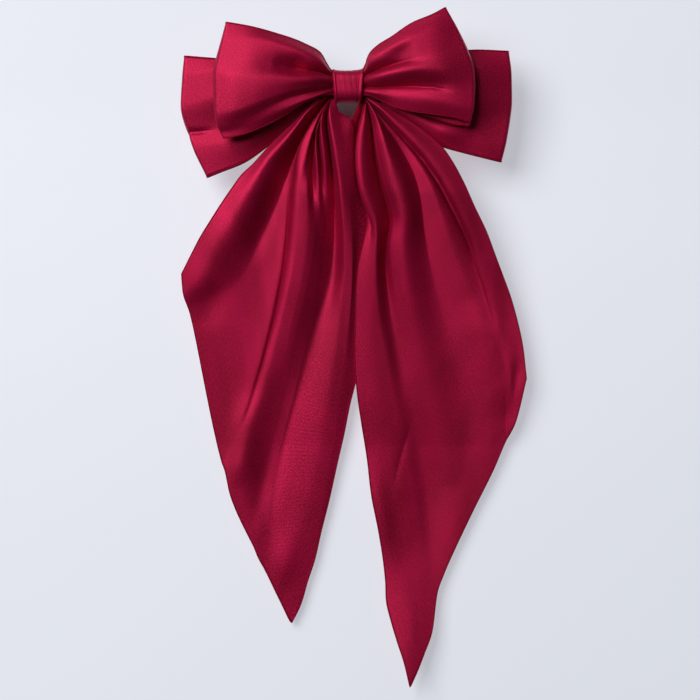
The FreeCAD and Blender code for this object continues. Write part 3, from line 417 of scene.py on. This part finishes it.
def to_space(grid):
    """(x, z, y) in mm to (x, y, z) in metres."""
    return np.stack([grid[..., 0], grid[..., 2], grid[..., 1]], axis=-1) * MM


# ---- meshes -----------------------------------------------------------------------------------------


def shown_piece(name, mesh):
    mesh.polygons.foreach_set("use_smooth", [True] * len(mesh.polygons))
    mesh.update()
    piece = bpy.data.objects.new(name, mesh)
    bpy.context.scene.collection.objects.link(piece)
    return piece


def grid_mesh(name, points, closed, flat):
    """Quad mesh over rows x columns points; closed joins the last row to the first.

    Its UVs are the cloth's own coordinates in metres, so that the weave follows the cloth."""
    rows, columns = points.shape[:2]
    faces = []
    uvs = []
    last = rows if closed else rows - 1
    for i in range(last):
        j = (i + 1) % rows
        for k in range(columns - 1):
            faces.append((i * columns + k, j * columns + k, j * columns + k + 1, i * columns + k + 1))
            for row, column in ((i, k), (i + 1, k), (i + 1, k + 1), (i, k + 1)):
                uvs.append((column / (columns - 1) * flat[0], row / last * flat[1]))
    mesh = bpy.data.meshes.new(name)
    mesh.from_pydata([tuple(p) for p in points.reshape(-1, 3)], [], faces)
    layer = mesh.uv_layers.new(name="cloth")
    layer.data.foreach_set("uv", np.array(uvs, np.float32).ravel())
    return shown_piece(name, mesh)


def tube_mesh(name, path, radius, closed, sides=8):
    """Round bead along a path of points."""
    path = np.array(path, float)
    if closed:
        ahead = np.roll(path, -1, axis=0)
        behind = np.roll(path, 1, axis=0)
    else:
        ahead = np.vstack([path[1:], path[-1:]])
        behind = np.vstack([path[:1], path[:-1]])
    along = ahead - behind
    along /= np.maximum(np.linalg.norm(along, axis=1), 1e-9)[:, None]
    depth = np.tile([0.0, 1.0, 0.0], (len(path), 1))
    depth -= along * (along * depth).sum(axis=1)[:, None]
    depth /= np.maximum(np.linalg.norm(depth, axis=1), 1e-9)[:, None]
    side = np.cross(along, depth)
    turn = np.linspace(0, 2 * np.pi, sides, endpoint=False)
    rings = (
        path[:, None]
        + side[:, None] * (np.cos(turn) * radius)[None, :, None]
        + depth[:, None] * (np.sin(turn) * radius)[None, :, None]
    )
    faces = []
    count = len(path)
    for i in range(count if closed else count - 1):
        j = (i + 1) % count
        for k in range(sides):
            m = (k + 1) % sides
            faces.append((i * sides + k, j * sides + k, j * sides + m, i * sides + m))
    if not closed:
        faces.append(tuple(range(sides)))
        faces.append(tuple((count - 1) * sides + k for k in reversed(range(sides))))
    mesh = bpy.data.meshes.new(name)
    mesh.from_pydata([tuple(p) for p in rings.reshape(-1, 3)], [], faces)
    return shown_piece(name, mesh)


def points_of(piece):
    flat = np.empty(len(piece.data.vertices) * 3, np.float32)
    piece.data.vertices.foreach_get("co", flat)
    return flat.reshape(-1, 3).astype(float)


def thicken(piece, thickness):
    shell = piece.modifiers.new("thickness", "SOLIDIFY")
    shell.thickness = thickness
    shell.offset = 0.0
    shell.use_even_offset = False


# ---- materials --------------------------------------------------------------------------------------


def new_material(name):
    material = bpy.data.materials.new(name)
    material.use_nodes = True
    nodes = material.node_tree.nodes
    return material, nodes, material.node_tree.links, nodes["Principled BSDF"]


def noise(nodes, links, coordinates, scale, detail):
    node = nodes.new("ShaderNodeTexNoise")
    node.inputs["Scale"].default_value = scale
    node.inputs["Detail"].default_value = detail
    links.new(coordinates, node.inputs["Vector"])
    return node.outputs["Fac"]


def ramp(nodes, links, factor, stops):
    node = nodes.new("ShaderNodeValToRGB")
    while len(node.color_ramp.elements) < len(stops):
        node.color_ramp.elements.new(0.5)
    for element, (place, colour) in zip(node.color_ramp.elements, stops):
        element.position = place
        element.color = (*colour, 1)
    links.new(factor, node.inputs["Fac"])
    return node.outputs["Color"]


def weave(nodes, links, coordinates, pitch):
    """Satin's long floats: fine bands on the bias, with the filling threads across them."""
    total = None
    for direction, across, share in (("DIAGONAL", pitch, 0.6), ("X", pitch * 0.8, 0.4)):
        wave = nodes.new("ShaderNodeTexWave")
        wave.bands_direction = direction
        wave.inputs["Scale"].default_value = BAND_SCALE / across
        wave.inputs["Distortion"].default_value = 1.5
        wave.inputs["Detail"].default_value = 1.0
        links.new(coordinates, wave.inputs["Vector"])
        scaled = nodes.new("ShaderNodeMath")
        scaled.operation = "MULTIPLY"
        scaled.inputs[1].default_value = share
        links.new(wave.outputs["Fac"], scaled.inputs[0])
        if total is None:
            total = scaled.outputs[0]
        else:
            add = nodes.new("ShaderNodeMath")
            add.operation = "ADD"
            links.new(total, add.inputs[0])
            links.new(scaled.outputs[0], add.inputs[1])
            total = add.outputs[0]
    return total


def satin_material(name, light, mid, dark, roughness, metallic, specular):
    material, nodes, links, shader = new_material(name)
    uv = nodes.new("ShaderNodeUVMap")
    uv.uv_map = "cloth"
    cloth = uv.outputs["UV"]
    slubs = noise(nodes, links, cloth, 1600, 3)
    shades = noise(nodes, links, cloth, 28, 2)
    mix = nodes.new("ShaderNodeMath")
    mix.operation = "MULTIPLY_ADD"
    mix.inputs[1].default_value = 0.7
    links.new(slubs, mix.inputs[0])
    half = nodes.new("ShaderNodeMath")
    half.operation = "MULTIPLY"
    half.inputs[1].default_value = 0.3
    links.new(shades, half.inputs[0])
    links.new(half.outputs[0], mix.inputs[2])
    colour = ramp(nodes, links, mix.outputs[0], [(0.43, dark), (0.5, mid), (0.57, light)])
    links.new(colour, shader.inputs["Base Color"])
    rough = nodes.new("ShaderNodeMapRange")
    rough.inputs["To Min"].default_value = roughness - 0.05
    rough.inputs["To Max"].default_value = roughness + 0.07
    links.new(slubs, rough.inputs["Value"])
    links.new(rough.outputs["Result"], shader.inputs["Roughness"])
    shader.inputs["Metallic"].default_value = metallic
    shader.inputs["Specular IOR Level"].default_value = specular
    shader.inputs["Sheen Weight"].default_value = 0.03
    shader.inputs["Sheen Roughness"].default_value = 0.35
    shader.inputs["Sheen Tint"].default_value = (1.0, 0.35, 0.45, 1)
    height = nodes.new("ShaderNodeMath")
    height.operation = "ADD"
    links.new(weave(nodes, links, cloth, 0.00035), height.inputs[0])
    links.new(slubs, height.inputs[1])
    bump = nodes.new("ShaderNodeBump")
    bump.inputs["Strength"].default_value = 0.3
    bump.inputs["Distance"].default_value = 0.00012
    links.new(height.outputs[0], bump.inputs["Height"])
    links.new(bump.outputs["Normal"], shader.inputs["Normal"])
    return material


def thread_material():
    material, nodes, links, shader = new_material("sewing_thread")
    place = nodes.new("ShaderNodeTexCoord").outputs["Object"]
    twist = nodes.new("ShaderNodeTexWave")
    twist.bands_direction = "DIAGONAL"
    twist.inputs["Scale"].default_value = 900
    links.new(place, twist.inputs["Vector"])
    colour = ramp(nodes, links, twist.outputs["Fac"], [(0.2, (0.10, 0.002, 0.012)), (0.8, (0.24, 0.008, 0.035))])
    links.new(colour, shader.inputs["Base Color"])
    shader.inputs["Roughness"].default_value = 0.55
    shader.inputs["Sheen Weight"].default_value = 0.3
    bump = nodes.new("ShaderNodeBump")
    bump.inputs["Strength"].default_value = 0.5
    bump.inputs["Distance"].default_value = 0.0001
    links.new(twist.outputs["Fac"], bump.inputs["Height"])
    links.new(bump.outputs["Normal"], shader.inputs["Normal"])
    return material


def metal_material(name, light, dark, roughness, grain):
    """Brushed metal: streaks along X and a little tarnish."""
    material, nodes, links, shader = new_material(name)
    place = nodes.new("ShaderNodeTexCoord").outputs["Object"]
    stretch = nodes.new("ShaderNodeMapping")
    stretch.inputs["Scale"].default_value = (0.04, 1, 1)
    links.new(place, stretch.inputs["Vector"])
    streaks = noise(nodes, links, stretch.outputs["Vector"], grain, 4)
    clouds = noise(nodes, links, place, 160, 3)
    colour = ramp(nodes, links, clouds, [(0.3, dark), (0.65, light)])
    links.new(colour, shader.inputs["Base Color"])
    shader.inputs["Metallic"].default_value = 1.0
    rough = nodes.new("ShaderNodeMapRange")
    rough.inputs["To Min"].default_value = roughness - 0.07
    rough.inputs["To Max"].default_value = roughness + 0.12
    links.new(streaks, rough.inputs["Value"])
    links.new(rough.outputs["Result"], shader.inputs["Roughness"])
    bump = nodes.new("ShaderNodeBump")
    bump.inputs["Strength"].default_value = 0.12
    bump.inputs["Distance"].default_value = 0.0001
    links.new(streaks, bump.inputs["Height"])
    links.new(bump.outputs["Normal"], shader.inputs["Normal"])
    return material


SATIN = satin_material(
    "crimson_satin", (0.43, 0.0036, 0.053), (0.34, 0.0026, 0.038), (0.25, 0.0017, 0.026), 0.48, 0.6, 0.22
)
HEM = satin_material(
    "crimson_hem", (0.27, 0.003, 0.022), (0.23, 0.0024, 0.018), (0.19, 0.002, 0.014), 0.6, 0.3, 0.05
)
THREAD = thread_material()
PLATED = metal_material("plated_steel", (0.66, 0.65, 0.63), (0.47, 0.46, 0.45), 0.26, 2600)
SPRING = metal_material("spring_steel", (0.48, 0.49, 0.51), (0.33, 0.34, 0.36), 0.32, 3200)


# ---- cloth ------------------------------------------------------------------------------------------


def smoothed(values):
    """Even out an array of displacements along its first axis."""
    result = values.copy()
    result[1:-1] = (values[:-2] + 2 * values[1:-1] + values[2:]) / 4
    return result


def settled(points, pins, closed, frames, cap):
    """Let a coarse net of the cloth hang and relax, held by its pins; the cloth follows the net.

    No point of it moves further than cap, in metres."""
    scene = bpy.context.scene
    rows, columns = points.shape[:2]
    last = rows if closed else rows - 1
    net_rows = np.linspace(0, last, NET_ROWS).round().astype(int)
    net_columns = np.linspace(0, columns - 1, NET_COLUMNS).round().astype(int)
    kept_rows = net_rows[:-1] if closed else net_rows
    start = points[np.ix_(kept_rows, net_columns)]
    net = grid_mesh("net", start, closed, (1, 1))
    before = points_of(net)
    group = net.vertex_groups.new(name="pins")
    levels = np.round(pins[np.ix_(kept_rows, net_columns)].ravel(), 2)
    for level in np.unique(levels):
        chosen = np.nonzero(levels == level)[0]
        group.add([int(i) for i in chosen], float(level), "REPLACE")
    cloth = net.modifiers.new("cloth", "CLOTH")
    settings = cloth.settings
    settings.quality = 8
    settings.mass = 0.05
    settings.tension_stiffness = 15
    settings.compression_stiffness = 15
    settings.shear_stiffness = 5
    settings.bending_stiffness = 0.5
    settings.vertex_group_mass = "pins"
    settings.pin_stiffness = 2
    settings.effector_weights.gravity = SETTLE_GRAVITY
    cloth.collision_settings.use_collision = False
    cloth.collision_settings.use_self_collision = False
    cloth.point_cache.frame_start = 1
    cloth.point_cache.frame_end = frames
    for number in range(1, frames + 1):
        scene.frame_set(number)
    shown = net.evaluated_get(bpy.context.evaluated_depsgraph_get())
    flat = np.empty(len(shown.data.vertices) * 3, np.float32)
    shown.data.vertices.foreach_get("co", flat)
    moved = flat.reshape(-1, 3).astype(float) - before
    length = np.linalg.norm(moved, axis=1)[:, None]
    moved *= np.minimum(1, cap / np.maximum(length, 1e-9))
    moved = moved.reshape(start.shape)
    if closed:
        moved = np.concatenate([moved, moved[:1]])
    bpy.data.objects.remove(net)
    scene.frame_set(1)
    for _ in range(2):
        moved = smoothed(moved)
        moved = smoothed(moved.transpose(1, 0, 2)).transpose(1, 0, 2)
    along = spline(net_rows.astype(float), moved, np.arange(rows, dtype=float), False)
    across = spline(net_columns.astype(float), along.transpose(1, 0, 2), np.arange(columns, dtype=float), False)
    return points + across.transpose(1, 0, 2)


def finish_cloth(piece, material, body=None):
    thicken(piece, CLOTH_THICKNESS)
    piece.data.materials.append(material)
    if body:
        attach(piece, body)


def bow(name, left, left_back, right, right_back, strokes, rows, columns, flat):
    """One strip of satin joined into a loop and pinched in the middle, with its two hems."""
    parts = []
    for lines in (left, left_back, right, right_back):
        grid = fan(lines, rows, columns, BOW_TOWARD, (0.7, 0.8))
        if lines in (left, right):
            for profile, width, path in strokes:
                stroke(grid, BOW_TOWARD, profile, width, path)
        parts.append(to_space(grid))
    left_front, left_rear, right_front, right_rear = parts

    def fold(front, rear, steps):
        """Rounded outer fold from the front panel's end to the back panel's end."""
        half = (rear[-1] - front[-1]) / 2
        middle = (rear[-1] + front[-1]) / 2
        outward = front[-1] - front[-4]
        outward[:, 1] = 0
        outward /= np.linalg.norm(outward, axis=1)[:, None]
        reach = np.linalg.norm(half, axis=1)[:, None] * END_FOLD_REACH
        turns = np.linspace(-np.pi / 2, np.pi / 2, steps + 2)[1:-1]
        return [middle + half * np.sin(a) + outward * reach * np.cos(a) for a in turns]

    def bridge(start, stop, steps):
        """Gathered cloth inside the knot."""
        shares = np.linspace(0, 1, steps + 2)[1:-1]
        return [start + (stop - start) * share for share in shares]

    path = [
        *left_front[::-1],
        *bridge(left_front[0], right_front[0], 6),
        *right_front,
        *fold(right_front, right_rear, 8),
        *right_rear[::-1],
        *bridge(right_rear[0], left_rear[0], 6),
        *left_rear,
        *fold(left_front, left_rear, 8)[::-1],
    ]
    points = np.array(path)
    near_knot = np.clip(1.6 - np.abs(points[..., 0]) / (12 * MM), 0, 1)
    edge = np.zeros(points.shape[:2])
    edge[:, 0] = BOW_EDGE_PIN
    edge[:, -1] = BOW_EDGE_PIN
    pins = np.clip(np.maximum(near_knot, edge), BOW_LEAST_PIN, 1)
    points = settled(points, pins, True, BOW_FRAMES, BOW_CAP)
    piece = grid_mesh(f"{name}_fabric", points, True, flat)
    hems = [
        tube_mesh(f"{name}_top_hem", points[:, 0], BOW_HEM_RADIUS, True),
        tube_mesh(f"{name}_bottom_hem", points[:, -1], BOW_HEM_RADIUS, True),
    ]
    finish_cloth(piece, SATIN, "root")
    for hem in hems:
        hem.data.materials.append(HEM)
        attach(hem, "root")
    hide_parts(name)


def back_of(lines):
    """Plain back panel that follows the top, middle and bottom lines of a front panel."""
    chosen = [lines[0], lines[2], lines[-1]]
    return [
        [(x, z, REAR_BACK_LEVEL + (y + REAR_MEAN_DEPTH) * REAR_BACK_FOLLOWS) for x, z, y in line]
        for line in chosen
    ]


def tail(name, lines, strokes, crisp, rows, columns, flat, covers):
    """Hanging end of the tail strip with its hem, below the knot."""
    grid = fan(lines, rows, columns, TAIL_TOWARD, crisp)
    for profile, width, path in strokes:
        stroke(grid, TAIL_TOWARD, profile, width, path)
    # the folds stand a fifth prouder near the knot
    grid[..., 2] *= np.interp(grid[..., 1], [-120, -55], [1, 1.2])
    level = np.array(TAIL_LEVEL[::-1], float)
    base = np.interp(grid[..., 1], level[:, 0], level[:, 1])
    grid[..., 2] = base - grid[..., 2]
    down = np.linspace(0, 1, rows)[:, None] * np.ones(columns)
    pins = np.clip(1.5 - down * 9, TAIL_LEAST_PIN, 1)
    points = settled(to_space(grid), pins, False, TAIL_FRAMES, TAIL_CAP)
    piece = grid_mesh(f"{name}_fabric", points, False, flat)
    border = np.concatenate([points[:, 0], points[-1, 1:], points[-2::-1, -1]])
    hem = tube_mesh(f"{name}_hem", border, TAIL_HEM_RADIUS, False)
    finish_cloth(piece, SATIN)
    hem.data.materials.append(HEM)
    for item in (piece, hem):
        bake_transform(item)
    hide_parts(*covers)


def knot():
    """Narrow band of satin round the gathered middle, its raw edges turned under."""
    columns = 49
    rows = 120
    across = np.linspace(-1, 1, columns)
    ring = np.linspace(0, 2 * np.pi, rows, endpoint=False)
    points = np.empty((rows, columns, 3))
    for i, angle in enumerate(ring):
        up = np.sin(angle)
        out = np.cos(angle)
        squared = (abs(up) ** KNOT_SQUARENESS + abs(out) ** KNOT_SQUARENESS) ** (-1 / KNOT_SQUARENESS)
        for k, share in enumerate(across):
            roll = 0.35 * np.exp(-(((abs(share) - 0.9) / 0.08) ** 2)) - 1.3 * max(0, abs(share) - 0.93) / 0.07
            pleat = 0.022 * np.sin(share * 17 + 1.5 * np.sin(angle * 2)) + 0.018 * np.sin(share * 41 + 3 * angle)
            lift = roll + pleat * np.exp(-((share / 0.85) ** 6)) + 0.25 * (1 - share**2)
            top_sag = 1.1 * max(0, up) * (1 - share**2) - 0.5 * max(0, up) * (1 + share) / 2
            half_height = KNOT_HALF + lift * 0.8 - top_sag
            half_depth = KNOT_HALF + lift
            half_width = KNOT_HALF_WIDTH + 0.75 * np.clip(up * squared, -1, 1)
            points[i, k] = (
                share * half_width + 0.15,
                KNOT_LEVEL - out * squared * half_depth,
                up * squared * half_height,
            )
    piece = grid_mesh("knot_wrap_fabric", points * MM, True, (0.016, 0.062))
    piece.data.materials.append(SATIN)
    thicken(piece, KNOT_THICKNESS)
    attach(piece, "root")
    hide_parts("knot_wrap")


knot()
bow(
    "front_bow", FRONT_LEFT, FRONT_LEFT_BACK, FRONT_RIGHT, FRONT_RIGHT_BACK, FRONT_STROKES,
    rows=90, columns=80, flat=FRONT_BOW_FLAT,
)
bow(
    "rear_bow", REAR_LEFT, back_of(REAR_LEFT), REAR_RIGHT, back_of(REAR_RIGHT), REAR_STROKES,
    rows=80, columns=60, flat=REAR_BOW_FLAT,
)
tail(
    "tail_left", TAIL_LEFT, TAIL_LEFT_STROKES, crisp=(0.9, 0.4), rows=190, columns=190,
    flat=TAIL_LEFT_FLAT, covers=["tail_left", "tail_gather"],
)
tail(
    "tail_right", TAIL_RIGHT, TAIL_RIGHT_STROKES, crisp=(0.9, 0.6), rows=200, columns=180,
    flat=TAIL_RIGHT_FLAT, covers=["tail_right"],
)


# ---- barrette ---------------------------------------------------------------------------------------


def tension_bar():
    """Thin spring strip, bowed towards the hair, with rounded ends."""
    columns = 61
    rows = 9
    reach = 33.1
    level = -2.55
    sag = 1.8
    half_width = 3.0
    end_length = 2.2
    end_half_width = 0.9
    points = np.empty((columns, rows, 3))
    for i, x in enumerate(np.linspace(-reach, reach, columns)):
        rest = min(1, (reach - abs(x)) / end_length)
        half = half_width * (1 - (1 - rest) ** 2) ** 0.5 if rest < 1 else half_width
        for k, share in enumerate(np.linspace(-1, 1, rows)):
            points[i, k] = (x, level - sag * (x / reach) ** 2, share * max(half, end_half_width))
    piece = grid_mesh("tension_bar_strip", points * MM, False, (0.006, 0.066))
    thicken(piece, BAR_THICKNESS)
    piece.data.materials.append(SPRING)
    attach(piece, "root")
    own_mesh(piece)
    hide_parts("tension_bar")


tension_bar()

NODE_MATERIALS = {
    "front_bow_thread": THREAD,
    "tail_thread": THREAD,
    "rear_bow_thread": THREAD,
    "knot_stitches": THREAD,
    "anchor_stitches": THREAD,
    "base_plate": PLATED,
    "clasp_arm": PLATED,
    "hinge_pin": PLATED,
    "catch_bracket": PLATED,
    "catch_rivets": PLATED,
    "catch_ear_upper": SPRING,
    "catch_ear_lower": SPRING,
}
for node, material in NODE_MATERIALS.items():
    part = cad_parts[node]
    for slot in part.material_slots:
        slot.link = "DATA"
        slot.material = material
    if not part.material_slots:
        part.data.materials.append(material)


# ---- stage, light and camera ------------------------------------------------------------------------


def backdrop():
    """Pale paper behind the object, which glows a little and has a painted shade spot behind the knot's hole, where
    its glow fades out.

    Seen from behind it isn't there, so that the clip shows."""
    # height in metres, and how far behind the origin the paper lies there, in mm
    profile = [
        (1.2, 10.5), (0.06, 10.5), (0.0, 9.8), (-0.04, 6.5),
        (-0.09, 1.6), (-0.14, -0.8), (-0.2, -1.6), (-1.4, -1.6),
    ]
    places = np.array(profile)[::-1]
    heights = np.concatenate([[-1.4], np.linspace(-0.3, 0.1, 60), [1.2]])
    depths = spline(places[:, 0], places[:, 1:], heights, True)[:, 0] * MM
    points = np.empty((len(heights), 9, 3))
    for i, (z, y) in enumerate(zip(heights, depths)):
        for k, x in enumerate(np.linspace(1.4, -1.4, 9)):
            points[i, k] = (x, y, z)
    sheet = grid_mesh("backdrop", points, False, (2.8, 2.6))
    material, nodes, links, shader = new_material("pale_paper")
    place = nodes.new("ShaderNodeTexCoord").outputs["Object"]
    tone = noise(nodes, links, place, 3, 2)
    colour = ramp(nodes, links, tone, [(0.3, (0.36, 0.37, 0.40)), (0.7, (0.38, 0.39, 0.42))])
    links.new(colour, shader.inputs["Base Color"])
    shader.inputs["Roughness"].default_value = 0.9
    shader.inputs["Specular IOR Level"].default_value = 0.1
    shader.inputs["Emission Color"].default_value = (0.80, 0.84, 0.92, 1)
    # painted shade: the paper's glow fades to nothing near a spot behind the knot's hole, so the paper looks shaded
    # through the hole
    gap = nodes.new("ShaderNodeVectorMath")
    gap.operation = "DISTANCE"
    gap.inputs[1].default_value = PAINTED_SHADE_MIDDLE
    links.new(place, gap.inputs[0])
    glow_and_painted_shade = nodes.new("ShaderNodeMapRange")
    glow_and_painted_shade.inputs["From Min"].default_value = PAINTED_SHADE_RADIUS
    glow_and_painted_shade.inputs["From Max"].default_value = PAINTED_SHADE_FADE_RADIUS
    glow_and_painted_shade.inputs["To Max"].default_value = PAPER_GLOW
    links.new(gap.outputs["Value"], glow_and_painted_shade.inputs["Value"])
    links.new(glow_and_painted_shade.outputs["Result"], shader.inputs["Emission Strength"])
    clear = nodes.new("ShaderNodeBsdfTransparent")
    mix = nodes.new("ShaderNodeMixShader")
    side = nodes.new("ShaderNodeNewGeometry")
    links.new(side.outputs["Backfacing"], mix.inputs["Fac"])
    links.new(shader.outputs["BSDF"], mix.inputs[1])
    links.new(clear.outputs["BSDF"], mix.inputs[2])
    links.new(mix.outputs["Shader"], nodes["Material Output"].inputs["Surface"])
    sheet.data.materials.append(material)
    sheet.visible_shadow = False


def area_light(name, place, aim, size, power, colour):
    data = bpy.data.lights.new(name, "AREA")
    data.shape = "SQUARE"
    data.size = size
    data.energy = power
    data.color = colour
    lamp = bpy.data.objects.new(name, data)
    lamp.location = place
    lamp.rotation_euler = (Vector(aim) - Vector(place)).to_track_quat("-Z", "Y").to_euler()
    bpy.context.scene.collection.objects.link(lamp)


backdrop()
area_light("key", (-0.8, -1.3, 0.62), (0, 0, -0.12), 1.1, 33, (1.0, 0.98, 0.97))
area_light("fill", (0.8, -1.3, -0.1), (0, 0, -0.12), 1.0, 0.4, (0.95, 0.97, 1.0))
area_light("back", (0.5, 1.1, 0.5), (0, 0, -0.08), 0.8, 9, (1.0, 1.0, 1.0))
area_light("back_low", (-0.6, 1.0, -0.3), (0, 0, -0.08), 0.8, 3, (1.0, 1.0, 1.0))

def surroundings():
    """Faint light from all round; the camera alone sees a pale tone past the paper's edge."""
    world = bpy.data.worlds.new("studio")
    world.use_nodes = True
    nodes = world.node_tree.nodes
    links = world.node_tree.links
    lighting = nodes["Background"]
    lighting.inputs["Color"].default_value = (0.88, 0.91, 1.0, 1)
    lighting.inputs["Strength"].default_value = 0.03
    seen = nodes.new("ShaderNodeBackground")
    seen.inputs["Color"].default_value = (0.70, 0.73, 0.79, 1)
    choice = nodes.new("ShaderNodeMixShader")
    links.new(nodes.new("ShaderNodeLightPath").outputs["Is Camera Ray"], choice.inputs["Fac"])
    links.new(lighting.outputs["Background"], choice.inputs[1])
    links.new(seen.outputs["Background"], choice.inputs[2])
    links.new(choice.outputs["Shader"], nodes["World Output"].inputs["Surface"])
    bpy.context.scene.world = world
    bpy.context.scene.view_settings.view_transform = "Standard"


def add_camera():
    """Square on to the front of the object."""
    camera = bpy.data.objects.new("camera", bpy.data.cameras.new("camera"))
    camera.location = (0.00095, -1.315, -0.1248)
    camera.rotation_euler = (np.pi / 2, 0, 0)
    camera.data.sensor_width = SENSOR_WIDTH
    camera.data.lens = SENSOR_WIDTH * VIEW_DISTANCE / VIEW_WIDTH
    bpy.context.scene.collection.objects.link(camera)
    bpy.context.scene.camera = camera


surroundings()
add_camera()
